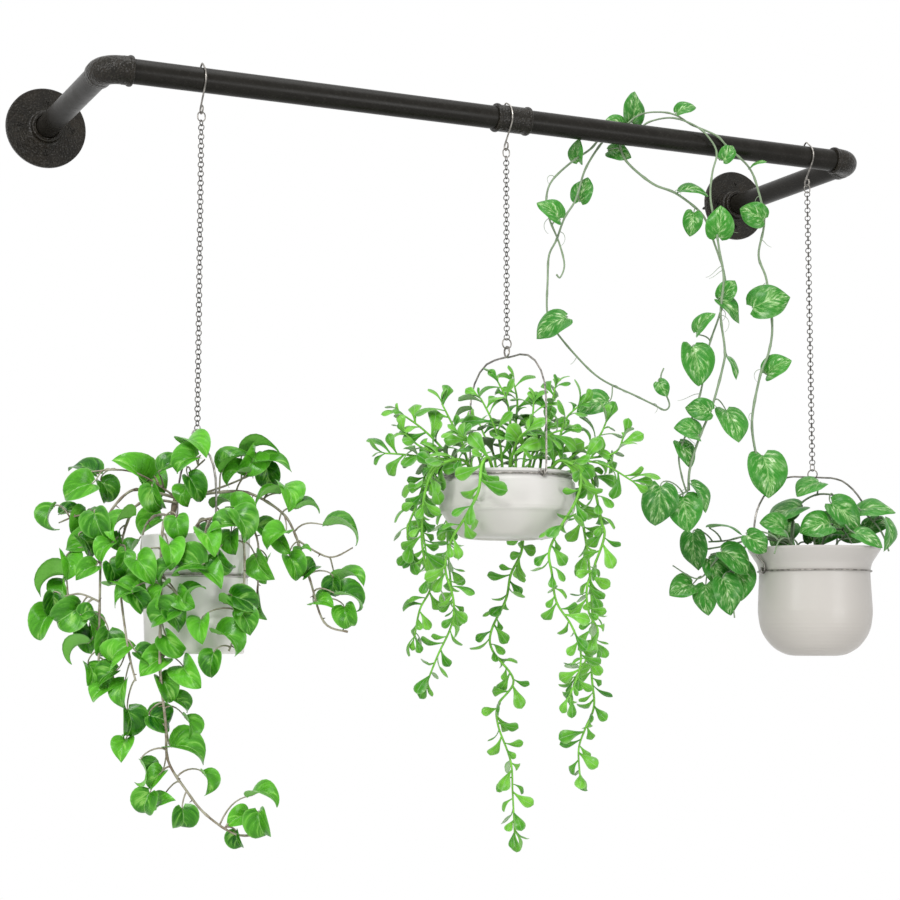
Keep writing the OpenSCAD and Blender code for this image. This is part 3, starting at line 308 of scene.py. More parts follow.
def lacquered_pipe(settings):
    n = material("lacquered_pipe", specular_ior_level=0.14)
    spots, dust = n.spots(45.0, 0.35, 0.75), n.dust(0.04)
    drawn = n.noise(n.place((4, 260, 260)), 1.0, 3.0)
    shade = n.layers(settings.pipe, (spots["Patches"], 0.5, [1.25 * c + 0.004 for c in settings.pipe]),
                     (spots["Speckle"], 0.04, tint(120, 116, 108)), (dust, 1.0, tint(128, 126, 122)))
    rough = n.plus(n.times(drawn, 0.18), n.times(spots["Patches"], 0.08))
    return n.finish(shade, n.plus(rough, n.plus(n.times(dust, 0.25), 0.2)), drawn, 0.00004, 0.5)


def cast_iron(settings):
    n = material("black_casting", specular_ior_level=0.24)
    grain = n.use(cast_grain(), {"Vector": n.place(), "Scale": 1 / settings.grain, "Lumps": 0.7})
    brown = n.plus(grain["Hollows"], n.spots(40.0, 0.3, 0.8)["Patches"])
    # The lighter pebble tops are painted glints; the brown tinge in the hollows is the casting's own colour.
    shade = n.layers(settings.fitting, (brown, 0.5, settings.rust), (grain["Pebbles"], 0.18, tint(92, 87, 76)),
                     (n.dust(0.05), 1.0, tint(122, 118, 108)))
    return n.finish(shade, n.plus(n.times(grain["Hollows"], 0.2), 0.3), grain["Height"], 0.0011, 1.0)


def darkened_screw(settings):
    n = material("darkened_screw", metallic=0.85)
    shade = n.blend(n.spots(260.0, 0.4, 0.7)["Patches"], settings.screw, settings.fitting)
    turned = n.noise(n.place(), 1400.0, 2.0)
    return n.finish(shade, n.step(turned, 0.3, 0.7, 0.32, 0.5), turned, 0.00005, 0.4)


def galvanised_wire(name, fresh, tarnish):
    n = material(name, metallic=0.8)
    shade = n.layers(fresh, (n.spots(190.0, 0.38, 0.62)["Patches"], 1.0, tarnish),
                     (n.dust(0.25), 1.0, tint(150, 144, 134)))
    drawn = n.noise(n.place(), 900.0, 3.0)
    return n.finish(shade, n.step(drawn, 0.3, 0.7, 0.3, 0.46), drawn, 0.00004, 0.5)


def glaze(name, base, foot_z, rim_z):
    """A satin glaze, darker and warmer towards the foot, with a few flecks."""
    n = material(name, coat_weight=0.14, coat_roughness=0.2, specular_ior_level=0.3)
    pooled = n.spots(14.0, 0.35, 0.7)
    height = n.put("SeparateXYZ", {0: n.place()}).outputs["Z"]
    pin = n.put("TexVoronoi", {"Vector": n.place(), "Scale": 420.0, "Randomness": 1.0})
    fleck = n.times(n.step(pin.outputs["Distance"], 0.12, 0.05), pooled["Speckle"])
    shade = n.layers(base, (n.step(height, rim_z, foot_z), 0.35, scaled(base, 0.9, 0.87, 0.82)),
                     (pooled["Patches"], 0.14, scaled(base, 0.93)), (fleck, 0.08, tint(160, 150, 134)))
    skin = n.noise(n.place(), 120.0, 3.0, Roughness=0.5)
    return n.finish(shade, n.step(skin, 0.3, 0.7, 0.34, 0.48), skin, 0.0002, 0.3)


def potting_soil(settings):
    n = material("potting_soil", specular_ior_level=0.2)
    spots = n.spots(240.0, 0.4, 0.62)
    shade = n.layers(settings.soil, (spots["Patches"], 1.0, scaled(settings.soil, 0.4)),
                     (spots["Speckle"], 0.4, tint(134, 112, 86)))
    crumbs = n.noise(n.place(), 700.0, 6.0, Roughness=0.7)
    return n.finish(shade, n.step(crumbs, 0.2, 0.8, 0.82, 1.0), crumbs, 0.0015, 0.9)


def leaf_parts(n, veins, slant, width):
    """The leaf's own share, its underside mask, its place on the leaf, and its veins."""
    share = n.put("Attribute", attribute_name="leaf_share").outputs["Color"]
    split = n.put("SeparateColor", {0: share}).outputs
    uv = n.put("UVMap", uv_map="leaf").outputs[0]
    ribs = n.use(leaf_veins(), {"Leaf UV": uv, "Veins": veins, "Slant": slant, "Width": width})
    return split[0], split[1], uv, ribs


def pothos_leaf(settings):
    n = material("glossy_heart_leaf", specular_ior_level=0.14, coat_weight=0.2, coat_roughness=0.16)
    share, under, uv, veins = leaf_parts(n, 7.0, 2.4, 0.05)
    spots = n.spots(60.0, 0.35, 0.7)
    rays = n.use(leaf_streaks(), {"Leaf UV": uv, "Share": share, "Long": 2.0, "Dense": 0.7})
    lively = n.plus(n.times(share, 0.7), n.times(n.step(rays["Streak"], 0.36, 0.64), 0.3))
    lime = n.times(n.step(rays["Streak"], 0.52, 0.7), rays["Inner"])
    top = n.layers(settings.pothos_deep, (lively, 1.0, settings.pothos_bright), (lime, 0.6, tint(176, 226, 120)),
                   (veins["Side veins"], 0.12, tint(112, 196, 60)), (veins["Midrib"], 0.45, tint(176, 226, 140)),
                   (veins["Margin"], 0.15, tint(190, 226, 150)))
    back = n.blend(n.times(veins["Midrib"], 0.5), settings.pothos_back, tint(176, 208, 130))
    shade = n.layers(top, (under, 1.0, back), (n.dust(0.02), 1.0, tint(190, 200, 170)))
    rough = n.plus(n.step(spots["Speckle"], 0.0, 1.0, 0.26, 0.34), n.times(under, 0.22))
    relief = n.plus(n.times(veins["Side veins"], -0.5), n.times(veins["Midrib"], -1.0))
    return n.finish(shade, rough, n.plus(relief, n.times(spots["Patches"], 0.5)), 0.0006, 0.6)


def small_leaf(settings):
    n = material("fleshy_small_leaf", specular_ior_level=0.16, coat_weight=0.2, coat_roughness=0.2)
    share, under, _, veins = leaf_parts(n, 5.0, 2.0, 0.12)
    patches = n.spots(80.0, 0.35, 0.7)["Patches"]
    lively = n.plus(n.times(share, 0.65), n.times(patches, 0.35))
    shade = n.layers(scaled(settings.small_bright, 0.12, 0.36, 0.06), (lively, 1.0, settings.small_bright),
                     (veins["Midrib"], 0.4, settings.small_back), (veins["Margin"], 0.4, tint(176, 204, 140)),
                     (under, 1.0, settings.small_back), (n.dust(0.03), 1.0, tint(196, 204, 184)))
    return n.finish(shade, n.step(patches, 0.0, 1.0, 0.34, 0.46), n.minus(patches, veins["Midrib"]), 0.0004, 0.5)


def marbled_leaf(settings):
    n = material("marbled_kidney_leaf", specular_ior_level=0.18, coat_weight=0.15, coat_roughness=0.2)
    share, under, uv, veins = leaf_parts(n, 8.0, 2.6, 0.06)
    rays = n.use(leaf_streaks(), {"Leaf UV": uv, "Share": share, "Long": 6.0, "Dense": 1.3})
    patches = n.spots(100.0, 0.42, 0.6)["Patches"]
    marble = n.times(n.step(rays["Streak"], 0.42, 0.66), rays["Inner"])
    cream = n.times(n.step(rays["Streak"], 0.54, 0.68), n.times(rays["Inner"], n.plus(patches, 0.3), clamp=True))
    deep, pale = settings.marbled_deep, settings.marbled_pale
    top = n.layers(deep, (share, 0.6, scaled(deep, 2.2, 1.6, 1.8)), (marble, 0.6, pale),
                   (cream, 0.8, tint(226, 240, 206)), (veins["Side veins"], 0.08, pale),
                   (veins["Midrib"], 0.4, tint(176, 218, 140)))
    shade = n.blend(under, top, n.blend(0.45, top, tint(150, 190, 130)))
    rough = n.plus(n.step(patches, 0.0, 1.0, 0.34, 0.42), n.times(under, 0.15))
    relief = n.minus(n.times(veins["Side veins"], -0.6), veins["Midrib"])
    return n.finish(shade, rough, n.plus(relief, n.times(patches, 0.3)), 0.0006, 0.6)


def stem_skin(name, young, old):
    """The skin of a stem: fibres along it, older patches and dark specks."""
    n = material(name)
    spots = n.spots(75.0, 0.42, 0.66)
    fibre = n.noise(n.place((900, 900, 120)), 1.0, 3.0)
    shade = n.layers(young, (spots["Patches"], 1.0, old), (spots["Speckle"], 0.35, scaled(old, 0.6)))
    return n.finish(shade, n.step(fibre, 0.3, 0.7, 0.42, 0.65), fibre, 0.0003, 0.6)


VIEW_TURN = math.radians(-25)
RIGHT = Vector((math.cos(VIEW_TURN), math.sin(VIEW_TURN), 0))
FRONT = Vector((math.sin(VIEW_TURN), -math.cos(VIEW_TURN), 0))

# Stems of the left plant as [right, front, up] in millimetres from the middle of the pot's rim, as
# someone sees them who stands a little to the left of the shelf, and each stem's thickness
LEFT_STEMS = (
    ((-20, 0, -14), (-24, 0, 5), (-25, 0, 20), (-20, 0, 48)),
    ((-20, 0, 40), (-45, 10, 46), (-65, 30, 45), (-85, 40, 20), (-90, 50, -10), (-90, 55, -70), (-90, 55, -130)),
    ((-20, 2, 35), (-40, 20, 36), (-60, 40, 25), (-70, 60, -30), (-60, 65, -110), (-50, 68, -150)),
    ((-22, 10, -14), (-22, 20, 14), (-25, 46, 18), (-26, 68, -10), (-25, 74, -80), (-25, 70, -140),
     (-20, 60, -195), (-18, 55, -230), (0, 50, -260), (20, 45, -285), (50, 40, -305), (78, 35, -305)),
    ((-15, 0, 40), (20, 10, 45), (55, 10, 45), (90, 5, 25), (105, 0, 0), (120, 0, -45), (135, -5, -90),
     (160, -5, -100)),
    ((0, 15, -14), (5, 22, 12), (30, 38, 16), (52, 48, 5), (57, 52, -40), (52, 52, -90), (42, 54, -120)),
    ((-20, 0, 40), (-5, 8, 65), (10, 12, 80)),
    ((-20, 0, 40), (-50, 10, 60), (-75, 20, 68), (-110, 20, 66)),
    ((-15, 0, 38), (35, 0, 55), (70, 0, 72), (85, 0, 85)),
    ((108, 0, -5), (140, 0, -22), (165, 0, -12)),
    ((-90, 55, -70), (-110, 55, -62), (-130, 48, -65)),
    ((-85, 40, 20), (-115, 35, 20), (-138, 32, 12)),
    ((-20, -5, -14), (-30, -12, 20), (-50, -32, 22), (-64, -48, 0), (-66, -52, -80)),
    ((5, -5, -14), (15, -15, 20), (42, -38, 22), (60, -55, -5), (58, -56, -90)),
    ((-5, -15, -14), (0, -35, 20), (8, -66, 8), (12, -72, -50), (5, -66, -110)),
)
LEFT_THICK = (8, 3.4, 3, 3.4, 3.2, 3, 2.4, 2.4, 2.4, 2.2, 2.2, 2.2, 3, 3, 3)

# Leaves of the left plant: [right, front, up, length, angle], and a sixth value where the roll is set
LEFT_LEAVES = (
    (-120, 10, 70, 40, 160, -34), (-120, 35, 45, 40, 204), (-95, 5, 45, 32, -60), (-70, 15, 70, 44, 125),
    (-45, -20, 65, 22, 60), (-20, 22, 72, 32, 20), (-45, -5, 52, 36, -60), (-35, 40, 35, 36, -75),
    (15, 40, 90, 40, -10, 26), (10, 35, 72, 34, 200), (5, 45, 45, 34, -60), (-8, 25, 40, 28, -100),
    (-145, 30, 15, 34, -110), (-125, 15, 20, 30, 0), (-115, 20, 8, 38, -100), (-90, 62, 5, 36, -70),
    (-70, 65, 5, 42, 212), (-115, 30, -10, 40, 190), (-105, 50, -15, 34, -50), (-85, 62, -20, 30, 225),
    (-70, 50, -10, 24, -80), (-125, 45, -35, 32, -60), (-105, 60, -40, 28, 210), (-145, 40, -50, 42, 195, -50),
    (-130, 25, -60, 32, -90), (-65, 72, -30, 26, -100), (-75, 66, -42, 30, -70), (-40, 80, -40, 36, -50),
    (-20, 82, -45, 30, 225), (-60, 70, -55, 42, -5), (-60, 76, -66, 38, 190), (-45, 80, -72, 30, -50),
    (-25, 82, -66, 34, 240), (-125, 55, -85, 40, 215), (-140, 40, -75, 32, -90), (-150, 40, -95, 38, -120),
    (-100, 60, -80, 20, 30), (-100, 50, -95, 38, -30), (-25, 76, -86, 38, 200), (-10, 76, -90, 32, -50),
    (0, 74, -70, 30, -45), (0, 76, -36, 44, 180), (-15, 82, -25, 34, -70), (-8, 62, 2, 32, -80),
    (70, 5, 92, 42, 20, 30), (55, 10, 75, 36, 250), (85, 10, 75, 40, 0), (75, -8, 62, 32, -80), (42, 22, 60, 32, 190),
    (32, 28, 78, 38, 40), (98, 10, 40, 38, -55), (75, 18, 40, 32, 190, -20), (120, 0, 30, 28, 15, 32),
    (55, 34, 25, 32, 0),
    (55, 60, 5, 40, -55), (85, 35, -5, 34, 200), (95, 25, -12, 24, -60), (158, 4, 5, 46, -5, 34),
    (115, 10, -15, 20, 20), (105, 15, -35, 32, -65), (122, 5, -35, 28, 50), (75, 35, -36, 36, -60),
    (35, 72, 5, 34, 180), (25, 78, -12, 34, -60), (45, 64, -12, 30, -90), (40, 68, -32, 32, -60),
    (25, 76, -46, 38, -15), (10, 74, -60, 28, 60), (145, -5, -55, 26, -90), (165, -5, -45, 36, 20, 34),
    (165, 0, -68, 38, -10, 30), (135, 0, -70, 28, 10), (160, -5, -86, 30, -75), (60, 56, -70, 36, -20),
    (45, 62, -80, 32, -30), (60, 56, -92, 30, -60), (15, 68, -100, 32, -90), (44, 60, -112, 40, -20, 34),
    (-85, 50, -115, 36, -100), (-65, 62, -120, 38, 50), (-105, 30, -110, 32, -90), (-115, 45, -120, 36, 200),
    (-100, 45, -145, 30, -60), (-85, 46, -148, 32, 210), (-90, 40, -162, 34, 205), (-65, 55, -165, 34, -100),
    (-60, 50, -195, 38, -80), (-35, 66, -135, 34, 215), (-20, 60, -160, 34, -60), (-25, 50, -190, 36, -20),
    (2, 45, -200, 30, -60), (-5, 45, -175, 26, -30), (-65, 50, -220, 28, -100), (4, 52, -222, 46, -5, 36),
    (-45, 50, -245, 34, -70), (-32, 50, -250, 26, 230), (-40, 50, -275, 32, -110), (-22, 45, -272, 28, 40),
    (20, 45, -255, 28, -60), (-5, 45, -290, 32, -85), (50, 40, -290, 28, 200), (77, 42, -297, 36, -80),
    (52, 35, -312, 24, -80), (80, 35, -268, 38, 10, 40), (25, 58, -135, 30, -100), (5, 62, -146, 36, -50),
    (-10, 70, -115, 34, -50), (-40, 62, -128, 28, -30), (-60, -60, 15, 34, 200), (-75, -55, -20, 34, -110),
    (-70, -60, -60, 32, -70), (30, -40, 35, 34, 20), (70, -62, 5, 34, -40), (66, -64, -35, 34, -110),
    (62, -62, -75, 32, -80), (8, -76, 12, 36, 90), (15, -80, -30, 34, -60), (0, -76, -70, 34, -110),
)

# Stems of the middle plant: the upright ones, and those that trail over the rim
UPRIGHT_STEMS = (
    ((-5, 10, -13), (-8, 12, 30), (-18, 12, 60), (-30, 12, 84)),
    ((2, 0, -13), (4, 0, 50), (0, 0, 82), (-10, 0, 104)),
    ((10, 0, -13), (10, -5, 50), (12, -5, 82), (8, -5, 104)),
    ((15, 10, -13), (22, 12, 35), (28, 12, 60), (30, 12, 80)),
    ((35, 0, -13), (42, 0, 40), (50, 0, 75), (55, 0, 98)),
    ((45, 10, -13), (58, 15, 35), (66, 15, 60), (80, 18, 74)),
    ((-40, 10, -13), (-50, 12, 30), (-64, 12, 58), (-74, 12, 78)),
    ((-50, 12, -13), (-70, 15, 22), (-95, 15, 48), (-120, 15, 66)),
    ((-52, 14, -13), (-66, 18, 14), (-98, 20, 28), (-116, 20, 44)),
    ((-50, 20, -13), (-66, 26, 10), (-112, 26, 18), (-138, 25, 20)),
    ((48, 15, -13), (66, 20, 12), (100, 15, 36), (112, 15, 58)),
    ((50, 18, -13), (67, 20, 10), (118, 20, 20), (130, 20, 38)),
    ((50, 22, -13), (66, 28, 9), (104, 30, 8), (140, 28, -12)),
    ((-10, -35, -13), (-14, -48, 25), (-25, -60, 50), (-30, -70, 64)),
    ((25, -35, -13), (35, -48, 25), (45, -60, 45), (52, -70, 58)),
    ((0, 35, -13), (5, 50, 18), (12, 60, 34), (20, 70, 40)),
    ((-25, 30, -13), (-35, 45, 20), (-45, 58, 32), (-55, 66, 36)),
    ((20, 25, -13), (30, 35, 25), (48, 42, 40), (62, 48, 44)),
)
TRAILING_STEMS = (
    ((-45, 32, -13), (-60, 42, 10), (-82, 45, 4), (-94, 45, -18), (-102, 44, -40), (-112, 42, -68),
     (-106, 40, -92)),
    ((-36, 34, -13), (-50, 48, 10), (-78, 62, 2), (-92, 58, -25), (-96, 54, -70), (-93, 52, -100), (-86, 50, -130),
     (-98, 48, -155), (-104, 46, -186)),
    ((-14, 45, -13), (-22, 66, 10), (-30, 84, 2), (-34, 88, -28), (-48, 82, -55), (-63, 74, -80), (-70, 68, -110),
     (-61, 64, -145), (-63, 60, -172), (-78, 58, -205), (-88, 55, -230)),
    ((8, -45, -13), (12, -66, 10), (16, -86, 2), (20, -90, -30), (20, -84, -80), (6, -70, -112), (0, -62, -141),
     (-17, -55, -177), (-16, -50, -200), (8, -46, -234), (-10, -42, -262), (-10, -38, -285), (4, -34, -325),
     (6, -30, -360), (8, -28, -404)),
    ((40, 30, -13), (56, 38, 10), (76, 46, 2), (80, 52, -16), (72, 58, -40), (56, 64, -66), (44, 64, -92),
     (47, 60, -116), (52, 58, -147), (68, 55, -172), (78, 52, -198), (77, 50, -222), (66, 48, -250)),
    ((48, 5, -13), (66, 8, 10), (90, 10, 2), (98, 15, -20), (104, 22, -54), (108, 22, -72), (98, 22, -102),
     (88, 22, -130), (90, 22, -158), (100, 22, -180), (88, 20, -208), (72, 18, -234)),
    ((32, -32, -13), (48, -48, 10), (70, -66, 2), (84, -58, -30), (94, -46, -90), (98, -36, -160), (96, -26, -225),
     (98, -20, -262), (88, -18, -287), (80, -15, -310), (81, -12, -340)),
    ((-26, -40, -13), (-38, -56, 10), (-60, -78, 2), (-68, -80, -40), (-66, -75, -100), (-60, -70, -150)),
    ((-48, -12, -13), (-66, -15, 10), (-92, -20, 2), (-98, -20, -40), (-92, -18, -90)),
)

# Stems and leaves of the right plant, in the same way as the left plant's
RIGHT_STEMS = (
    ((-25, 5, -14), (-34, 8, 3), (-56, 12, 10), (-82, 10, 9), (-105, 15, 3), (-132, 20, -2)),
    ((-20, 10, -14), (-28, 0, 6), (-62, -4, 15), (-86, 0, 14), (-107, 6, 9), (-130, 14, 7)),
    ((-80, 10, 9), (-96, 22, -15), (-105, 26, -45), (-102, 28, -85)),
    ((-105, 15, 3), (-125, 24, -18), (-145, 24, -38), (-175, 22, -22)),
    ((-25, 0, -14), (-26, -4, 20), (-18, -8, 50), (6, -6, 66), (35, 0, 62), (60, 4, 44), (80, 6, 22), (90, 6, -4)),
    ((5, 0, -14), (14, 8, 16), (32, 12, 22), (44, 12, 5)),
    ((0, 15, -14), (-4, 25, 10), (-2, 35, 22)),
    ((25, -15, -14), (35, -25, 10), (55, -40, 14)),
    ((-10, -25, -14), (-15, -44, 12), (-32, -61, 15)),
    ((-30, 25, -14), (-38, 40, 8), (-52, 60, 6), (-60, 70, -10)),
)
RIGHT_THICK = (3, 3, 2.6, 2.4, 3, 2.6, 2.6, 2.6, 2.6, 2.6)
RIGHT_LEAVES = (
    (-148, 22, -6, 50, -85), (-110, 32, 22, 44, 0, 60), (-97, 38, -18, 48, -30), (-165, 22, -50, 38, 200),
    (-136, 28, -64, 42, -95), (-110, 32, -60, 50, -75), (-80, 26, -42, 50, -80), (-78, 62, 2, 36, -40),
    (-15, 18, 72, 44, 200, -26), (-5, 34, 24, 44, 185), (36, 22, 38, 50, -40), (74, 0, 47, 52, 10, 15),
    (60, 18, 14, 44, -75, 55), (80, 8, 14, 42, -80, 60), (-26, -10, 46, 34, 30), (-40, 12, 40, 58, 200, -35),
    (20, -15, 14, 34, 200), (29, -10, 28, 40, -20), (-30, -62, 22, 44, 220), (55, -44, 22, 44, -30),
    (10, -45, 30, 42, 80), (-25, -92, 2, 40, -90), (80, -20, 30, 36, 20), (-122, 20, -30, 40, -60),
    (-62, 26, 26, 38, 150), (10, 10, 8, 40, -20),
)

# Vines over the rail as [along the rail, out from its middle line, up], and their leaves
VINE_STEMS = (
    ((797, 18, -382), (791, 18, -338), (804, 18, -281), (815, 20, -254), (821, 20, -220), (814, 20, -165),
     (803, 20, -135), (812, 20, -92), (802, 20, -49), (791, 20, -28), (773, 20, -14), (761, 16.5, -3),
     (751, 14.5, 7), (738, 9, 14), (720, 2, 22), (702, 0, 31), (684, -4, 34), (661, -10, 31), (645, -16, 20),
     (638, -19, 6)),
    ((701, 18, -424), (702, 20, -398), (714, 22, -362), (733, 22, -322), (748, 24, -272), (750, 24, -252),
     (745, 24, -212), (750, 24, -168), (744, 24, -132), (740, 24, -108), (733, 24, -72), (736, 24, -42),
     (744, 22, -16), (736, 19, 2), (722, 12, 17), (698, -2, 28), (670, -10, 22), (656, -17, 10)),
    ((640, -19, 8), (634, -19, -8), (641, -14, -30), (672, -8, -54), (700, -2, -64), (729, 4, -84), (739, 8, -101),
     (746, 10, -122), (758, 12, -157), (760, 12, -185), (750, 12, -214), (738, 12, -243), (730, 14, -268),
     (721, 14, -309), (700, 14, -359), (692, 12, -383), (696, 12, -408), (701, 14, -426)),
    ((632, -19, 6), (616, -19, -2), (603, -18, -16), (582, -12, -46), (567, -8, -84), (550, -4, -108),
     (537, 0, -136), (526, 2, -156), (523, 4, -186), (521, 6, -222), (527, 8, -240), (552, 14, -271),
     (580, 24, -299), (624, 28, -317), (650, 26, -326), (667, 22, -331), (675, 20, -324), (670, 18, -308),
     (665, 18, -292), (669, 18, -281)),
    ((625, -20, 4), (610, -20, 0), (593, -18, -18), (562, -12, -40), (534, -6, -66), (526, -4, -89),
     (529, -2, -112), (539, 2, -139), (545, 4, -165), (539, 5, -181), (534, 5, -178)),
    ((656, -19, 6), (644, -20, 0), (630, -20, 4)),
    ((797, 18, -380), (806, 20, -396), (812, 22, -420)),
    ((701, 18, -420), (700, 18, -424), (688, 18, -430)),
)
VINE_THICK = (2.4, 2.4, 2.4, 2.2, 2.2, 2.2, 2.2, 2)
VINE_LEAVES = (
    (655, -20, 42, 44, 80), (627, -21, 20, 26, 170), (714, 4, 40, 28, 30), (575, -16, -22, 30, 100, 60),
    (635, -20, -18, 32, -10), (581, -14, -68, 34, 75), (518, 18, -106, 36, 140), (758, 26, -14, 26, 55),
    (802, 24, -23, 24, 30, 45), (722, 6, -62, 40, 5, 14), (714, 12, -104, 32, -100), (742, 30, -101, 42, 85),
    (790, 26, -86, 36, 155, 22), (762, 20, -206, 42, -40), (762, 16, -179, 30, 60), (817, 26, -191, 52, 20),
    (725, 20, -222, 36, 60, 10), (712, 22, -276, 54, -80), (513, 28, -244, 46, 205, -8), (564, 34, -332, 46, 190, -12),
    (663, 26, -307, 22, -60), (825, 26, -270, 38, 40, 24), (762, 24, -276, 34, -65, 50), (710, 26, -328, 34, 170, 40),
    (696, 24, -353, 36, 150), (700, 16, -381, 38, -60), (657, 22, -445, 54, -95), (693, 24, -452, 48, -85),
    (716, 20, -432, 42, -50, 50), (762, 22, -344, 52, -70), (806, 26, -404, 58, -80),
)


def varied(number, share):
    """A share from 0 to 1 that varies evenly from leaf to leaf."""
    return number * share % 1.0


def square_to(side, along):
    return (side - side.dot(along) * along).normalized()


def seen(point):
    """The place of a [right, front, up] point in millimetres, from the middle of a pot's rim."""
    return (RIGHT * point[0] + FRONT * point[1] + UP * point[2]) * MM


def moved(points, shift):
    return [p + shift for p in points]


def finder(points):
    """A search tree of points."""
    tree = kdtree.KDTree(len(points))
    for i, p in enumerate(points):
        tree.insert(p, i)
    tree.balance()
    return tree


def smooth(points, steps):
    """A smooth curve through the points."""
    made = []
    for i in range(len(points) - 1):
        a, b = points[max(i - 1, 0)], points[i]
        c, d = points[i + 1], points[min(i + 2, len(points) - 1)]
        for k in range(steps):
            t = k / steps
            made.append((2 * b + (c - a) * t + (2 * a - 5 * b + 4 * c - d) * t**2
                         + (3 * b - a - 3 * c + d) * t**3) / 2)
    return made + [points[-1]]


def spaced(points, gap):
    """Points at even distances along a line, and the line's direction at each."""
    made, left = [], 0.0
    for a, b in zip(points, points[1:]):
        length = (b - a).length
        at = left
        while at < length:
            made.append((a.lerp(b, at / length), (b - a).normalized()))
            at += gap
        left = at - length
    return made


def level_at(line, t):
    """The height of a smooth line through [place, height] points."""
    for i in range(len(line) - 1):
        if t <= line[i + 1][0]:
            break
    a, b = line[max(i - 1, 0)], line[i]
    c, d = line[i + 1], line[min(i + 2, len(line) - 1)]
    span = c[0] - b[0]
    s = min(max((t - b[0]) / span, 0.0), 1.0)
    rise_b = (c[1] - a[1]) / (c[0] - a[0]) * span
    rise_c = (d[1] - b[1]) / (d[0] - b[0]) * span
    return ((2 * s**3 - 3 * s**2 + 1) * b[1] + (s**3 - 2 * s**2 + s) * rise_b
            + (3 * s**2 - 2 * s**3) * c[1] + (s**3 - s**2) * rise_c)


def circle(middle, radius, z, sides):
    """Points round a level circle."""
    turns = [2 * math.pi * k / sides for k in range(sides)]
    return [Vector((middle.x + radius * math.cos(turn), middle.y + radius * math.sin(turn), z)) for turn in turns]


MARGIN_SHARE = 0.35  # How much of its underside's tone a leaf shows at its edge
PLAIN_SHARE = (0.5, 0.0)  # The leaf share of what is no leaf


class Piece:
    """The points and faces of one piece, gathered before its mesh is made."""

    def __init__(self):
        self.points, self.faces, self.uvs, self.shares, self.skins, self.margin = [], [], [], [], [], set()

    def add(self, points, faces, uvs, shares, skin):
        start = len(self.points)
        self.points += points
        self.uvs += uvs
        self.shares += shares
        self.faces += [[start + i for i in face] for face in faces]
        self.skins += [skin] * len(faces)

    def tube(self, points, radii, sides=8, skin=0):
        """A round stem along the points, closed at both ends."""
        rings, count = [], len(points)
        normal = None
        for i in range(count):
            along = (points[min(i + 1, count - 1)] - points[max(i - 1, 0)]).normalized()
            if normal is None:
                normal = square_to(UP if abs(along.z) < 0.8 else Vector((0, 1, 0)), along)
            normal = square_to(normal, along)
            other = along.cross(normal)
            for k in range(sides):
                turn = 2 * math.pi * k / sides
                rings.append(points[i] + radii[i] * (math.cos(turn) * normal + math.sin(turn) * other))
        faces = []
        for a in range(0, (count - 1) * sides, sides):
            for k in range(sides):
                n = (k + 1) % sides
                faces.append([a + k, a + n, a + sides + n, a + sides + k])
        faces.append(list(range(sides - 1, -1, -1)))
        faces.append(list(range((count - 1) * sides, count * sides)))
        uvs = [(k / sides, i / count) for i in range(count) for k in range(sides)]
        self.add(rings, faces, uvs, [PLAIN_SHARE] * len(rings), skin)

    def blade(self, top, bottom, share):
        """A thin closed leaf from the rows of its upper and its lower side, which meet at its edge."""
        rows, width = len(top), len(top[0])
        cells = [(i, j) for i in range(rows) for j in range(width)]
        edge = {(i, j) for i, j in cells if i in (0, rows - 1) or j in (0, width - 1)}
        inner = [cell for cell in cells if cell not in edge]
        upper = {cell: k for k, cell in enumerate(cells)}
        lower = upper | {cell: len(cells) + k for k, cell in enumerate(inner)}
        faces = []
        for i in range(rows - 1):
            for j in range(width - 1):
                corners = [(i, j), (i, j + 1), (i + 1, j + 1), (i + 1, j)]
                faces.append([upper[cell] for cell in corners])
                faces.append([lower[cell] for cell in reversed(corners)])
        self.margin |= {len(self.points) + upper[cell] for cell in edge}
        shares = [(share, MARGIN_SHARE if cell in edge else 0.0) for cell in cells]
        self.add([top[i][j] for i, j in cells] + [bottom[i][j] for i, j in inner], faces,
                 [(j / (width - 1), i / (rows - 1)) for i, j in cells + inner],
                 shares + [(share, 1.0)] * len(inner), 0)

    def finish(self, name, body, skins, slot, replaces):
        """Makes the mesh and its object, and lets it ride on its body."""
        mesh = bpy.data.meshes.new(name)
        mesh.from_pydata([tuple(p) for p in self.points], [], self.faces)
        for skin in skins:
            mesh.materials.append(skin)
        mesh.polygons.foreach_set("material_index", self.skins)
        mesh.polygons.foreach_set("use_smooth", [True] * len(self.faces))
        layer = mesh.uv_layers.new(name="leaf")
        layer.data.foreach_set("uv", [c for loop in mesh.loops for c in self.uvs[loop.vertex_index]])
        shares = mesh.color_attributes.new(name="leaf_share", type="FLOAT_COLOR", domain="POINT")
        shares.data.foreach_set("color", [c for s in self.shares for c in (*s, 0.0, 1.0)])
        sharp = mesh.attributes.new("sharp_edge", "BOOLEAN", "EDGE")
        sharp.data.foreach_set("value", [self.margin.issuperset(e.vertices) for e in mesh.edges])
        mesh.validate()
        mesh.update()
        made = bpy.data.objects.new(name, mesh)
        bpy.context.scene.collection.objects.link(made)
        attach(made, body)
        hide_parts(*replaces)


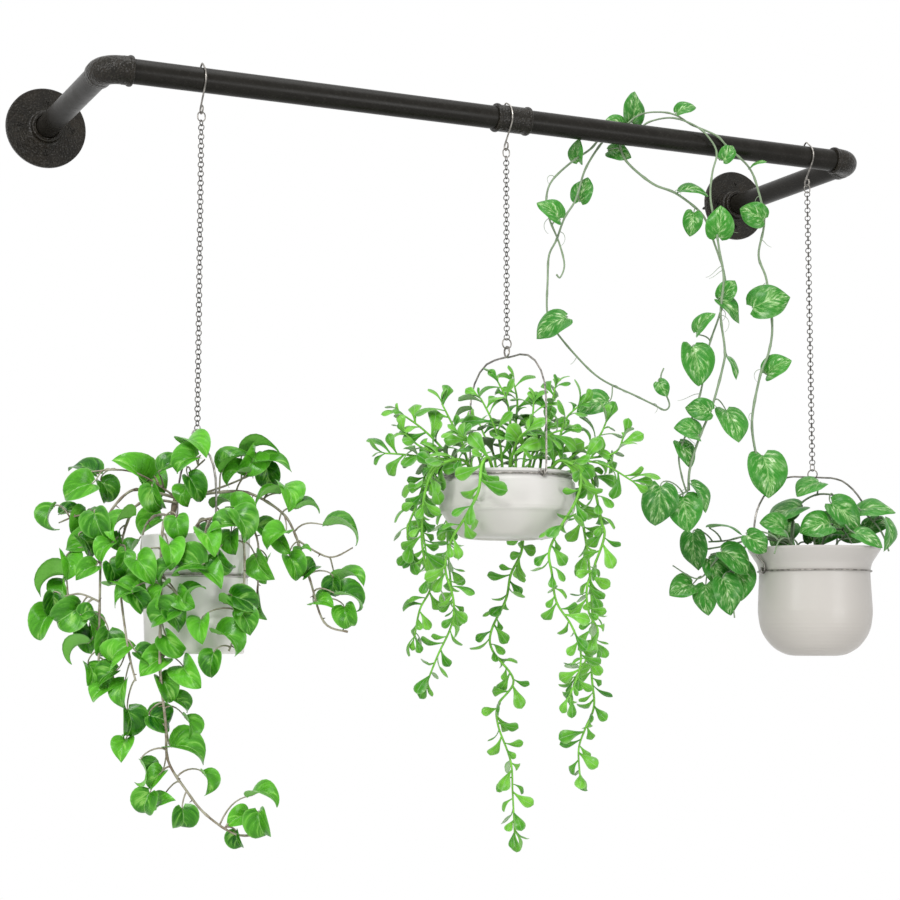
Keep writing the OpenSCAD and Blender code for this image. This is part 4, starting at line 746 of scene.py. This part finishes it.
# A leaf's form: half its width along its length, how far its base is drawn back into two lobes, how
# steeply it is folded at its midrib, how its edges turn down, how far it droops and its base lifts, its
# thickness in millimetres and its waviness, with angles in degrees and the rest as shares of its length
HEART = {
    "line": ((0, 0.1), (0.05, 0.28), (0.14, 0.41), (0.28, 0.46), (0.45, 0.41), (0.62, 0.3), (0.76, 0.19),
             (0.87, 0.1), (0.95, 0.04), (1, 0.004)),
    "lobe": 0.13, "fold": 54, "curl": 12, "droop": 96, "lift": 26, "thick": 0.5, "wave": 0.02, "rows": 14,
    "half": 5, "rise": 46, "size": 0.98, "pitch": (-14, 46), "roll": 52,
}
SPOON = {
    "line": ((0, 0.035), (0.2, 0.05), (0.4, 0.105), (0.58, 0.19), (0.74, 0.245), (0.87, 0.22), (0.95, 0.14),
             (1, 0.012)),
    "lobe": 0.0, "fold": 26, "curl": 26, "droop": 44, "lift": 14, "thick": 1.0, "wave": 0.0, "rows": 10,
    "half": 2,
}
KIDNEY = {
    "line": ((0, 0.13), (0.04, 0.27), (0.14, 0.37), (0.32, 0.42), (0.52, 0.39), (0.7, 0.3), (0.85, 0.18),
             (0.94, 0.09), (1, 0.008)),
    "lobe": 0.12, "fold": 34, "curl": 26, "droop": 50, "lift": 14, "thick": 0.5, "wave": 0.015, "rows": 16,
    "half": 7, "rise": 34, "size": 0.94, "pitch": (0, 36), "roll": 28,
}
LEAF_MIDDLE = 0.46  # Where the middle of a broad leaf lies along it
LOBE_END = 0.4  # How far along a leaf its lobes reach
TWIST = 24  # Degrees through which leaves twist at most


def leaf_rows(form, base, along, face, length, number, width=1.0):
    """The upper and lower rows of one leaf of this form."""
    rows, half = form["rows"], form["half"]
    across = along.cross(face)
    droop = math.radians(form["droop"] * (0.65 + 0.7 * varied(number, 0.414)))
    lift, curl = math.radians(form["lift"]), math.radians(form["curl"])
    fold = math.radians(form["fold"] * (0.7 + 0.6 * varied(number, 0.283)))
    twist = math.radians(TWIST * (varied(number, 0.537) - 0.5))
    phase = 6.28 * varied(number, 0.871)
    top, bottom = [], []
    spot, previous = base.copy(), 0.0
    for i in range(rows + 1):
        t = 0.5 * i / rows + 0.25 * (1 - math.cos(math.pi * i / rows))
        bend = droop * t**1.5 - lift * (1 - t)
        heading = math.cos(bend) * along - math.sin(bend) * face
        spot = spot + heading * (t - previous) * length
        previous = t
        up = math.cos(bend) * face + math.sin(bend) * along
        turn = twist * t
        side, up = math.cos(turn) * across + math.sin(turn) * up, math.cos(turn) * up - math.sin(turn) * across
        reach = level_at(form["line"], t) * length * width
        top.append([])
        bottom.append([])
        for j in range(-half, half + 1):
            v = j / half
            a = abs(v)
            angle = fold * (1 - 0.5 * t) - curl * a * (0.6 + 0.4 * t)
            out = reach * a * math.cos(angle * 0.8)
            high = reach * a * math.sin(angle)
            ripple = form["wave"] * length * a**2 * math.sin(11 * t + phase + (1.3 if v > 0 else 0))
            back = form["lobe"] * length * a**1.4 * max(0.0, 1 - t / LOBE_END) ** 1.5
            p = spot + side * math.copysign(out, v) + up * (high + ripple) - heading * back
            depth = 0.5 * form["thick"] * MM * (1 - a**3) * (1 + (0.5 if j == 0 else 0)) * (1 - 0.6 * t)
            top[-1].append(p + up * depth)
            bottom[-1].append(p - up * depth)
    return top, bottom


def pose_leaf(form, number, angle, roll):
    """Directions along a broad leaf and out of its face, which turns up to the light."""
    low, high = form["pitch"]
    pitch = math.radians(low + (high - low) * varied(number, 0.618))
    angle = math.radians(angle)
    swing = form["roll"] * (2 * varied(number, 0.755) - 1) * (0.35 + 0.65 * abs(math.sin(angle)))
    roll = math.radians(swing if roll is None else roll)
    level = math.cos(angle) * RIGHT + math.sin(angle) * UP
    along = (math.cos(pitch) * level + math.sin(pitch) * FRONT).normalized()
    rise = math.radians(form["rise"] * (0.35 + varied(number, 0.431)))
    face = square_to(math.cos(rise) * FRONT + math.sin(rise) * UP, along)
    across = face.cross(along)
    return along, (math.cos(roll) * face + math.sin(roll) * across).normalized()


class Pot:
    """A pot that leaves keep clear of, and its place."""

    LEVEL = 0.002  # Height of one step of the outline
    BEYOND = 0.003  # How far over and under the outline leaves still keep clear
    TRIES, NUDGE = 6, 0.005  # How often and how far a leaf moves away from the bail

    def __init__(self, side):
        low, high = (Vector(c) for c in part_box(side + "_pot"))
        self.rim = Vector(((low.x + high.x) / 2, (low.y + high.y) / 2, high.z))
        self.foot_z = low.z
        levels = {}
        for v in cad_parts[side + "_pot"].data.vertices:
            level = round((v.co.z - self.rim.z) / self.LEVEL)
            levels[level] = max(levels.get(level, 0.0), self.off_middle(v.co))
        self.outline = sorted((z * self.LEVEL, r) for z, r in levels.items())
        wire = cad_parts[side + "_bail"].data.vertices
        self.wire = finder([v.co - self.rim for v in wire])
        far = max(wire, key=lambda v: (v.co.x - self.rim.x) ** 2 + (v.co.y - self.rim.y) ** 2).co - self.rim
        self.side_way = Vector((-far.y, far.x, 0)).normalized()

    def off_middle(self, point):
        return math.hypot(point.x - self.rim.x, point.y - self.rim.y)

    def radius_at(self, z):
        line = self.outline
        if z > line[-1][0] + self.BEYOND or z < line[0][0] - self.BEYOND:
            return -1.0
        for a, b in zip(line, line[1:]):
            if z <= b[0]:
                s = min(max((z - a[0]) / (b[0] - a[0]), 0.0), 1.0)
                return a[1] + (b[1] - a[1]) * s
        return line[-1][1]

    def clear_move(self, points, gap=0.0045, wire_gap=0.007):
        """How far the points, measured from the rim, must move to keep off the pot and the bail."""
        shift = Vector((0, 0, 0))
        for _ in range(self.TRIES):
            now = moved(points, shift)
            middle = sum(now, Vector((0, 0, 0))) / len(now)
            depth = max(self.radius_at(p.z) + gap - math.hypot(p.x, p.y) if self.radius_at(p.z) > 0 else -1
                        for p in now)
            near = min(self.wire.find(p)[2] for p in now)
            if depth <= 0 and near >= wire_gap:
                break
            if depth > 0:
                shift += Vector((middle.x, middle.y, 0)).normalized() * depth
            if near < wire_gap:
                shift += self.side_way * math.copysign(self.NUDGE, middle.dot(self.side_way))
        return shift


def broad_leaf(piece, form, number, middle, length, angle, roll=None, pot=None):
    """Adds one broad leaf with its middle at a place, and gives its base and direction."""
    along, face = pose_leaf(form, number, angle, roll)
    reach = length * MM * form["size"]
    top, bottom = leaf_rows(form, middle - LEAF_MIDDLE * reach * along, along, face, reach, number,
                            0.92 + 0.2 * varied(number, 0.333))
    shift = middle - sum((row[form["half"]] for row in top), Vector((0, 0, 0))) / len(top)
    if pot:
        shift = shift + pot.clear_move([p + shift for row in top for p in row])
    top, bottom = ([moved(row, shift) for row in rows] for rows in (top, bottom))
    piece.blade(top, bottom, varied(number, 0.618))
    return top[0][form["half"]], along


def stalk(piece, start, end, heading, thick, skin):
    """A curved leaf stalk from a stem to a leaf's base."""
    span = (end - start).length
    if span < 0.0015:
        return
    a = start + (UP * 0.35 + (end - start).normalized() * 0.3) * span
    b = end - heading * 0.3 * span
    points = [
        start * (1 - t) ** 3 + a * 3 * t * (1 - t) ** 2 + b * 3 * t**2 * (1 - t) + end * t**3
        for t in (k / 8 for k in range(9))
    ]
    piece.tube(points, [thick * (1.25 - 0.45 * k / 8) / 2 for k in range(9)], 6, skin)


def stem(piece, route, thick, skin, sides, node_gap=0.024):
    """A stem that tapers, with a slight swelling at each node."""
    points = smooth(route, 7)
    radii, travelled = [], 0.0
    for i, p in enumerate(points):
        if i:
            travelled += (p - points[i - 1]).length
        swell = 1 + 0.28 * max(0.0, math.cos(2 * math.pi * travelled / node_gap)) ** 6
        radii.append(thick * (1 - 0.35 * i / len(points)) * swell / 2)
    piece.tube(points, radii, sides, skin)
    return points


def root_nubs(piece, points, gap, length, thick, rng):
    """Short root nubs at the nodes of a stem."""
    for at, along in spaced(points, gap):
        if rng.random() < 0.35:
            continue
        side = square_to(Vector((rng.uniform(-1, 1), rng.uniform(-1, 1), rng.uniform(-1, 0.4))), along)
        reach = length * rng.uniform(0.6, 1.3)
        line = [at, at + side * reach * 0.5 + along * reach * 0.1, at + side * reach + Vector((0, 0, -0.2 * reach))]
        piece.tube(line, [thick / 2, thick * 0.42, thick * 0.2], 5)


def tendril(piece, start, side, length, thick, rng):
    """A thin tendril that hangs and curls at its end."""
    points, heading, at = [start], side.copy(), start.copy()
    wind = rng.choice((-1, 1))
    for k in range(16):
        heading = (heading + Vector((0, 0, -0.16)) + 0.05 * k * wind * heading.cross(FRONT) * 0.35).normalized()
        at = at + heading * length / 16
        points.append(at)
    piece.tube(points, [thick / 2 * (1 - 0.6 * k / 16) for k in range(17)], 5)


SOIL_RINGS, SOIL_SIDES = 16, 56
SOIL_DEPTH = 0.016
SOIL_WALL = 0.0008  # Gap between the soil's top and the pot's wall
SOIL_LUMP, SOIL_GRIT = (0.0022, 110), (0.0011, 420)  # Height and frequency of the soil's unevenness
CRUMB_SIZES = (0.0008, 0.0024)


def crumbly_soil(side, pot, skin, count, rng):
    """Soil with an uneven top and loose crumbs, in place of the plain solid."""
    top = Vector(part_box(side + "_soil")[1]).z
    corners = [(v.co.z - top, pot.off_middle(v.co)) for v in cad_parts[side + "_soil"].data.vertices]
    top_r = max(r for z, r in corners if abs(z) < 1e-5)
    foot_r = min(top_r, max((r for z, r in corners if -0.03 < z < -0.012), default=top_r)) - 0.0015
    points, faces = [Vector((pot.rim.x, pot.rim.y, top))], []
    for i in range(1, SOIL_RINGS + 1):
        for p in circle(pot.rim, (top_r - SOIL_WALL) * i / SOIL_RINGS, top, SOIL_SIDES):
            lump = sum(height * noise.noise(p * often) for height, often in (SOIL_LUMP, SOIL_GRIT))
            p.z += (lump - 0.0004) * (1 if i < SOIL_RINGS else 0.3)
            points.append(p)
    points += circle(pot.rim, foot_r, top - SOIL_DEPTH, SOIL_SIDES)
    for k in range(SOIL_SIDES):
        n = (k + 1) % SOIL_SIDES
        faces.append([0, 1 + k, 1 + n])
        for a in range(1, 1 + SOIL_RINGS * SOIL_SIDES, SOIL_SIDES):
            faces.append([a + k, a + SOIL_SIDES + k, a + SOIL_SIDES + n, a + n])
    last = 1 + SOIL_RINGS * SOIL_SIDES
    faces.append([last + k for k in range(SOIL_SIDES - 1, -1, -1)])
    piece = Piece()
    piece.add(points, faces, [(0.5, 0.5)] * len(points), [PLAIN_SHARE] * len(points), 0)
    for _ in range(count):
        r, turn = (top_r - 0.006) * math.sqrt(rng.random()), rng.uniform(0, 6.283)
        size = rng.uniform(*CRUMB_SIZES)
        middle = Vector((pot.rim.x + r * math.cos(turn), pot.rim.y + r * math.sin(turn), top + 0.3 * size))
        crumb(piece, middle, size, rng)
    piece.finish(side + "_loose_soil", side + "_pot_body", [skin], "soil", [side + "_soil"])


def crumb(piece, middle, size, rng):
    """One lumpy crumb of soil."""
    points, faces = [], []
    for i in range(1, 4):
        for k in range(6):
            tip, turn = math.pi * i / 4, 2 * math.pi * k / 6
            way = Vector((math.sin(tip) * math.cos(turn), math.sin(tip) * math.sin(turn), 0.75 * math.cos(tip)))
            points.append(middle + way * size * rng.uniform(0.7, 1.15))
    points += [middle + UP * size * 0.8, middle - UP * size * 0.8]
    for k in range(6):
        n = (k + 1) % 6
        faces.append([18, k, n])
        faces += [[k, 6 + k, 6 + n, n], [6 + k, 12 + k, 12 + n, 6 + n], [12 + k, 19, 12 + n]]
    piece.add(points, faces, [(0.5, 0.5)] * len(points), [PLAIN_SHARE] * len(points), 0)


STEM_STEP = 0.006  # Distance between the places on a stem where a stalk can start
OLD_STEM = 5  # Thickness in millimetres over which a stem has bark
ROOT_NUBS = (0.026, 0.006, 0.0016)  # Spacing, length and thickness of the root nubs
CROWN = Vector((0, 0, 0.03))  # The place over the rim's middle that leaf stalks come from
STALK_SHARE, STALK_REACH = 0.22, 0.016  # How far towards it a stalk looks for its stem, as the lesser of both


def leafy_plant(side, form, stems, thicks, leaves, leaf_skin, stalk_skin, bark_skin, slot, stalk_d, settings):
    """A plant of stems with broad leaves on stalks, over the rim of its pot."""
    pot, rng = Pot(side), random.Random(settings.seed + len(side))
    woody, foliage = Piece(), Piece()
    cloud = []
    for route, thick in zip(stems, thicks):
        old = thick > OLD_STEM
        line = stem(woody, moved([seen(p) for p in route], pot.rim), thick * MM, 0 if old else 1, 12 if old else 8)
        cloud += [p for p, _ in spaced([q - pot.rim for q in line], STEM_STEP)]
        if side == "left":
            root_nubs(woody, line, *ROOT_NUBS, rng)
    near = finder(cloud)
    for number, (right, front, up, length, angle, *roll) in enumerate(leaves):
        base, heading = broad_leaf(foliage, form, number, seen((right, front, up)), length, angle,
                                   *(roll or [None]), pot)
        way = CROWN - base
        start = near.find(base + way * min(STALK_SHARE, STALK_REACH / way.length))[0]
        stalk(woody, start + pot.rim, base + pot.rim, heading, stalk_d, 1)
    foliage.points = moved(foliage.points, pot.rim)
    body, node = side + "_pot_body", [side + "_plant"]
    woody.finish(side + "_plant_stems", body, [bark_skin, stalk_skin], slot, node)
    foliage.finish(side + "_plant_leaves", body, [leaf_skin], slot, node)


def dress(node, skin):
    """Gives a CAD node its finish."""
    if not node.material_slots:
        raise RuntimeError(f"{node.name} has no material slot")
    for slot in node.material_slots:
        slot.material = skin


def dress_all(finishes):
    """Gives each CAD node the finish that goes with the end of its name."""
    for name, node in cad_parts.items():
        for endings, skin in finishes:
            if name.endswith(endings):
                dress(node, skin)


class PLANTSHELF_OT_pipework(bpy.types.Operator):
    """Finish the pipes, the fittings and the screws"""

    bl_idname = "plant_shelf.pipework"
    bl_label = "Pipework"

    def execute(self, context):
        settings = context.scene.plant_shelf_pipework
        dress_all(((("_pipe",), lacquered_pipe(settings)), (("_screws",), darkened_screw(settings)),
                   (("_flange", "_elbow", "_coupling"), cast_iron(settings))))
        return {"FINISHED"}


class PLANTSHELF_OT_wires(bpy.types.Operator):
    """Finish the hooks, links, chains, rings and bails"""

    bl_idname = "plant_shelf.wires"
    bl_label = "Wires and chains"

    def execute(self, context):
        settings = context.scene.plant_shelf_wires
        wire = galvanised_wire("galvanised_wire", settings.wire, scaled(settings.wire, 0.45))
        # The chain wire is the same galvanised wire made darker, partly as painted shade between the crowded links.
        chain = galvanised_wire("chain_wire", settings.chain, scaled(settings.chain, 0.4))
        dress_all(((("_hook", "_link", "_ring", "_bail"), wire), (("_chain",), chain)))
        return {"FINISHED"}


class PLANTSHELF_OT_pots(bpy.types.Operator):
    """Finish the three pots"""

    bl_idname = "plant_shelf.pots"
    bl_label = "Pots"

    def execute(self, context):
        settings = context.scene.plant_shelf_pots
        for side in SIDES:
            pot = Pot(side)
            dress(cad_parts[side + "_pot"],
                  glaze(side + "_glaze", getattr(settings, side), pot.foot_z, pot.rim.z))
        return {"FINISHED"}


class PLANTSHELF_OT_soil(bpy.types.Operator):
    """Fill the three pots with crumbly soil"""

    bl_idname = "plant_shelf.soil"
    bl_label = "Soil"

    def execute(self, context):
        settings = context.scene.plant_shelf_pots
        skin = potting_soil(settings)
        for side in SIDES:
            crumbly_soil(side, Pot(side), skin, settings.crumbs, random.Random(len(side)))
        return {"FINISHED"}


class PLANTSHELF_OT_left_plant(bpy.types.Operator):
    """Plant the left pot with a glossy trailing pothos"""

    bl_idname = "plant_shelf.left_plant"
    bl_label = "Left plant"

    def execute(self, context):
        settings = context.scene.plant_shelf_plants
        leafy_plant("left", HEART, LEFT_STEMS, LEFT_THICK, LEFT_LEAVES, pothos_leaf(settings),
                    stem_skin("leaf_stalk", settings.stalk, settings.bark),
                    stem_skin("old_stem", settings.bark, scaled(settings.bark, 0.5)), "pothos_leaf", 0.0016, settings)
        return {"FINISHED"}


UPRIGHT_THICK, TRAILING_THICK = 0.0034, 0.0038
BARE_LEAVES, BARE_HEIGHT = 5, 0.006  # A stem has none of its first leaves where it is lower than this
LEAF_SPREAD = (44, 22)  # Least angle from the stem in degrees, and how much more it can be
TIP_SPREADS = (6, 26, 34)  # Angles of the leaves at a stem's tip
FARTHEST = 0.012  # A small leaf that the pot or the bail would push further than this is left out


def small_leaf_at(piece, number, at, along, spread, length, pot):
    """One small leaf on a stem, turned to one side and then the other."""
    roll = math.radians(90 * (number % 2) + 137 * (number // 2) + (number % 2) * 90)
    ref = square_to(FRONT, along)
    side = (math.cos(roll) * along.cross(ref) + math.sin(roll) * ref * 0.8).normalized()
    spread = math.radians(spread)
    heading = (math.cos(spread) * along + math.sin(spread) * side).normalized()
    face = square_to(0.7 * FRONT + 0.5 * along + UP * varied(number, 0.441), heading)
    face = Matrix.Rotation(math.radians(130 * (varied(number, 0.271) - 0.5)), 3, heading) @ face
    rows = leaf_rows(SPOON, at, heading, face, length * (0.62 + 0.6 * varied(number, 0.618)), number)
    shift = pot.clear_move([row[k] for row in rows[0][::2] for k in (0, 2, 4)], 0.002, 0.0035)
    if shift.length <= FARTHEST:
        piece.blade(*([moved(row, shift) for row in part] for part in rows), varied(number, 0.755))


class PLANTSHELF_OT_middle_plant(bpy.types.Operator):
    """Plant the bowl with upright and trailing sprays of small leaves"""

    bl_idname = "plant_shelf.middle_plant"
    bl_label = "Middle plant"

    def execute(self, context):
        settings = context.scene.plant_shelf_plants
        pot, size = Pot("middle"), settings.small_leaf
        woody, foliage = Piece(), Piece()
        for number, route in enumerate(UPRIGHT_STEMS + TRAILING_STEMS):
            line = smooth([seen(p) for p in route], 7)
            thick = UPRIGHT_THICK if number < len(UPRIGHT_STEMS) else TRAILING_THICK
            woody.tube(moved(line, pot.rim), [thick * (1 - 0.45 * k / len(line)) / 2 for k in range(len(line))], 7)
            for k, (at, along) in enumerate(spaced(line, settings.small_gap)[1:]):
                if at.z < BARE_HEIGHT and k < BARE_LEAVES:
                    continue
                grown = 1.2 - 0.25 * min(1.0, k / 20)
                spread = LEAF_SPREAD[0] + LEAF_SPREAD[1] * varied(k, 0.37)
                small_leaf_at(foliage, 11 * number + k, at, along, spread, size * grown, pot)
            tip = (line[-1] - line[-2]).normalized()
            for k, spread in enumerate(TIP_SPREADS):
                small_leaf_at(foliage, 11 * number + k, line[-1] - tip * 0.001, tip, spread, 0.8 * size, pot)
        foliage.points = moved(foliage.points, pot.rim)
        green = stem_skin("green_stem", scaled(settings.small_bright, 0.7), settings.small_bright)
        for piece, name, skin in ((woody, "stems", green), (foliage, "leaves", small_leaf(settings))):
            piece.finish("middle_plant_" + name, "middle_pot_body", [skin], "small_leaf", ["middle_plant"])
        return {"FINISHED"}


VINE_SWELL, VINE_NODES = 1.3, 0.035  # How much thicker a vine is than its row says, and its nodes' spacing
TENDRIL_GAP, TENDRIL_SHARE, TENDRIL_TOP = 0.055, 0.6, -0.05  # Where tendrils can grow, and how many do
TENDRIL_THICK, TENDRIL_LONG = 0.0009, (0.012, 0.03)


def vine_skin(settings):
    """The skin of the right plant's stems and vines, made once."""
    return bpy.data.materials.get("vine_stalk") or stem_skin("vine_stalk", settings.vine, scaled(settings.vine, 0.78))


class PLANTSHELF_OT_right_plant(bpy.types.Operator):
    """Plant the bell-shaped pot with marbled leaves"""

    bl_idname = "plant_shelf.right_plant"
    bl_label = "Right plant"

    def execute(self, context):
        settings = context.scene.plant_shelf_plants
        skin = vine_skin(settings)
        leafy_plant("right", KIDNEY, RIGHT_STEMS, RIGHT_THICK, RIGHT_LEAVES, marbled_leaf(settings), skin, skin,
                    "marbled_leaf", 0.0018, settings)
        return {"FINISHED"}


class PLANTSHELF_OT_vines(bpy.types.Operator):
    """Lay the right plant's vines over the rail"""

    bl_idname = "plant_shelf.vines"
    bl_label = "Vines over the rail"

    def execute(self, context):
        settings = context.scene.plant_shelf_plants
        rail_y = Pot("right").rim.y
        rng = random.Random(settings.seed)
        woody, foliage = Piece(), Piece()
        cloud = []
        for route, thick in zip(VINE_STEMS, VINE_THICK):
            points = [Vector((p[0] * MM, rail_y - p[1] * MM, p[2] * MM)) for p in route]
            line = stem(woody, points, VINE_SWELL * thick * MM, 0, 8, VINE_NODES)
            cloud += [p for p, _ in spaced(line, STEM_STEP)]
            for at, along in spaced(line, TENDRIL_GAP):
                if at.z < TENDRIL_TOP and rng.random() < TENDRIL_SHARE:
                    side = square_to(RIGHT * rng.choice((-1, 1)) + FRONT * rng.uniform(-0.3, 0.6), along)
                    tendril(woody, at, side, rng.uniform(*TENDRIL_LONG), TENDRIL_THICK, rng)
        near = finder(cloud)
        for number, (x, out, up, length, angle, *roll) in enumerate(VINE_LEAVES):
            middle = Vector((x * MM, rail_y - out * MM, up * MM))
            base, heading = broad_leaf(foliage, KIDNEY, number, middle, length, angle, *roll)
            stalk(woody, near.find(base)[0], base, heading, 0.0016, 0)
        leaf = bpy.data.materials.get("marbled_kidney_leaf") or marbled_leaf(settings)
        for piece, name, skin in ((woody, "stems", vine_skin(settings)), (foliage, "leaves", leaf)):
            piece.finish("right_vine_" + name, "wall_rail", [skin], "marbled_leaf", ["right_vines"])
        return {"FINISHED"}


SHELF_MIDDLE = Vector((0.45, -0.27, -0.4))
CAMERA_PLACE = (-0.51965, -2.24167, -0.60944)
CAMERA_TURN = (95.82, 0.0, -24.985)
# Each lamp's name, power in watts, width as a share of the lamp size, and place
LAMPS = (
    ("key_lamp", 130.0, 0.8, (-2.4, -4.0, 2.6)), ("side_lamp", 40.0, 0.8, (-3.0, -1.2, 0.2)),
    ("fill_lamp", 22.0, 0.6, (1.5, -3.0, -0.7)), ("top_lamp", 30.0, 1.0, (0.5, -0.9, 2.4)),
)
AMBIENT, SHOWN = 0.38, 1.0
FLOOR_SIDES, FLOOR_REACH = 64, 2.6


class PLANTSHELF_OT_stage(bpy.types.Operator):
    """Set the floor, the lamps and the camera"""

    bl_idname = "plant_shelf.stage"
    bl_label = "Stage"

    def execute(self, context):
        settings, scene = context.scene.plant_shelf_stage, context.scene
        camera = bpy.data.cameras.new("camera")
        camera.lens, camera.sensor_width = settings.lens, 36.0
        camera.clip_start, camera.clip_end = 0.05, 60.0
        eye = bpy.data.objects.new("camera", camera)
        eye.location, eye.rotation_euler = CAMERA_PLACE, [math.radians(turn) for turn in CAMERA_TURN]
        floor = self.floor(settings.floor_drop)
        lamps = [self.lamp(name, power, share * settings.softness, where) for name, power, share, where in LAMPS]
        for made in (eye, floor, *lamps):
            scene.collection.objects.link(made)
        scene.camera = eye

        scene.world = bpy.data.worlds.new("studio")
        scene.world.use_nodes = True
        n = Graph(scene.world.node_tree)
        n.tree.nodes.clear()
        path = n.put("LightPath").outputs
        white = n.calc("MAXIMUM", path["Is Camera Ray"],
                       n.calc("MAXIMUM", path["Is Glossy Ray"], path["Is Transmission Ray"]))
        plain, shown = (
            n.put("Background", {"Color": (1, 1, 1, 1), "Strength": strength}).outputs[0]
            for strength in (AMBIENT, SHOWN)
        )
        n.put("OutputWorld", {0: n.put("MixShader", {0: white, 1: plain, 2: shown}).outputs[0]})
        scene.view_settings.view_transform = "Standard"
        return {"FINISHED"}

    def lamp(self, name, power, size, where):
        """A round lamp that faces the middle of the shelf."""
        light = bpy.data.lights.new(name, "AREA")
        light.shape, light.size, light.energy = "DISK", size, power
        made = bpy.data.objects.new(name, light)
        made.location = where
        made.rotation_euler = (SHELF_MIDDLE - Vector(where)).to_track_quat("-Z", "Y").to_euler()
        return made

    def floor(self, height):
        """A round pale floor that fades out into the white round it."""
        centre = (SHELF_MIDDLE.x, SHELF_MIDDLE.y, height)
        points, faces = [Vector(centre)], []
        for share in (0.5, 1.0):
            points += circle(SHELF_MIDDLE, FLOOR_REACH * share, height, FLOOR_SIDES)
        for k in range(FLOOR_SIDES):
            a, b = 1 + k, 1 + (k + 1) % FLOOR_SIDES
            faces += [[0, a, b], [a, FLOOR_SIDES + a, FLOOR_SIDES + b, b]]
        mesh = bpy.data.meshes.new("floor")
        mesh.from_pydata(points, [], faces)
        n = material("pale_floor", roughness=0.8)
        n.link(n.blend(n.spots(6.0, 0.3, 0.8)["Patches"], (0.96, 0.96, 0.96), (0.94, 0.94, 0.94)), n.shader,
               "Base Color")
        away = n.put("VectorMath", {0: n.place(), 1: centre}, operation="DISTANCE")
        n.link(n.step(away.outputs["Value"], 1.2, 2.4, 1.0, 0.0), n.shader, "Alpha")
        mesh.materials.append(n.made)
        return bpy.data.objects.new("floor", mesh)


STEPS = ("pipework", "wires", "pots", "soil", "left_plant", "middle_plant", "right_plant", "vines", "stage")


class PLANTSHELF_PT_sidebar(bpy.types.Panel):
    """Lists the shelf's sizes and colours, and the steps that make it"""

    bl_idname = "PLANTSHELF_PT_sidebar"
    bl_label = "Plant shelf"
    bl_space_type = "VIEW_3D"
    bl_region_type = "UI"
    bl_category = "Plant shelf"

    def draw(self, context):
        for group in GROUPS:
            settings = getattr(context.scene, "plant_shelf_" + group)
            box = self.layout.box()
            box.label(text=group.capitalize())
            for key in settings.bl_rna.properties.keys():
                if key not in ("rna_type", "name"):
                    box.prop(settings, key)
        for key in STEPS:
            self.layout.operator("plant_shelf." + key)


GROUPS = {
    "pipework": PlantShelfPipework, "wires": PlantShelfWires, "pots": PlantShelfPots, "plants": PlantShelfPlants,
    "stage": PlantShelfStage,
}
CLASSES = (
    PLANTSHELF_OT_pipework, PLANTSHELF_OT_wires, PLANTSHELF_OT_pots, PLANTSHELF_OT_soil, PLANTSHELF_OT_left_plant,
    PLANTSHELF_OT_middle_plant, PLANTSHELF_OT_right_plant, PLANTSHELF_OT_vines, PLANTSHELF_OT_stage,
    PLANTSHELF_PT_sidebar,
)


def register():
    for name, group in GROUPS.items():
        bpy.utils.register_class(group)
        setattr(bpy.types.Scene, "plant_shelf_" + name, PointerProperty(type=group))
    for made in CLASSES:
        bpy.utils.register_class(made)


def unregister():
    for made in reversed(CLASSES):
        bpy.utils.unregister_class(made)
    for name, group in reversed(GROUPS.items()):
        delattr(bpy.types.Scene, "plant_shelf_" + name)
        bpy.utils.unregister_class(group)


def main():
    register()
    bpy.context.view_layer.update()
    for key in STEPS:
        getattr(bpy.ops.plant_shelf, key)()


if __name__ == "__main__":
    main()
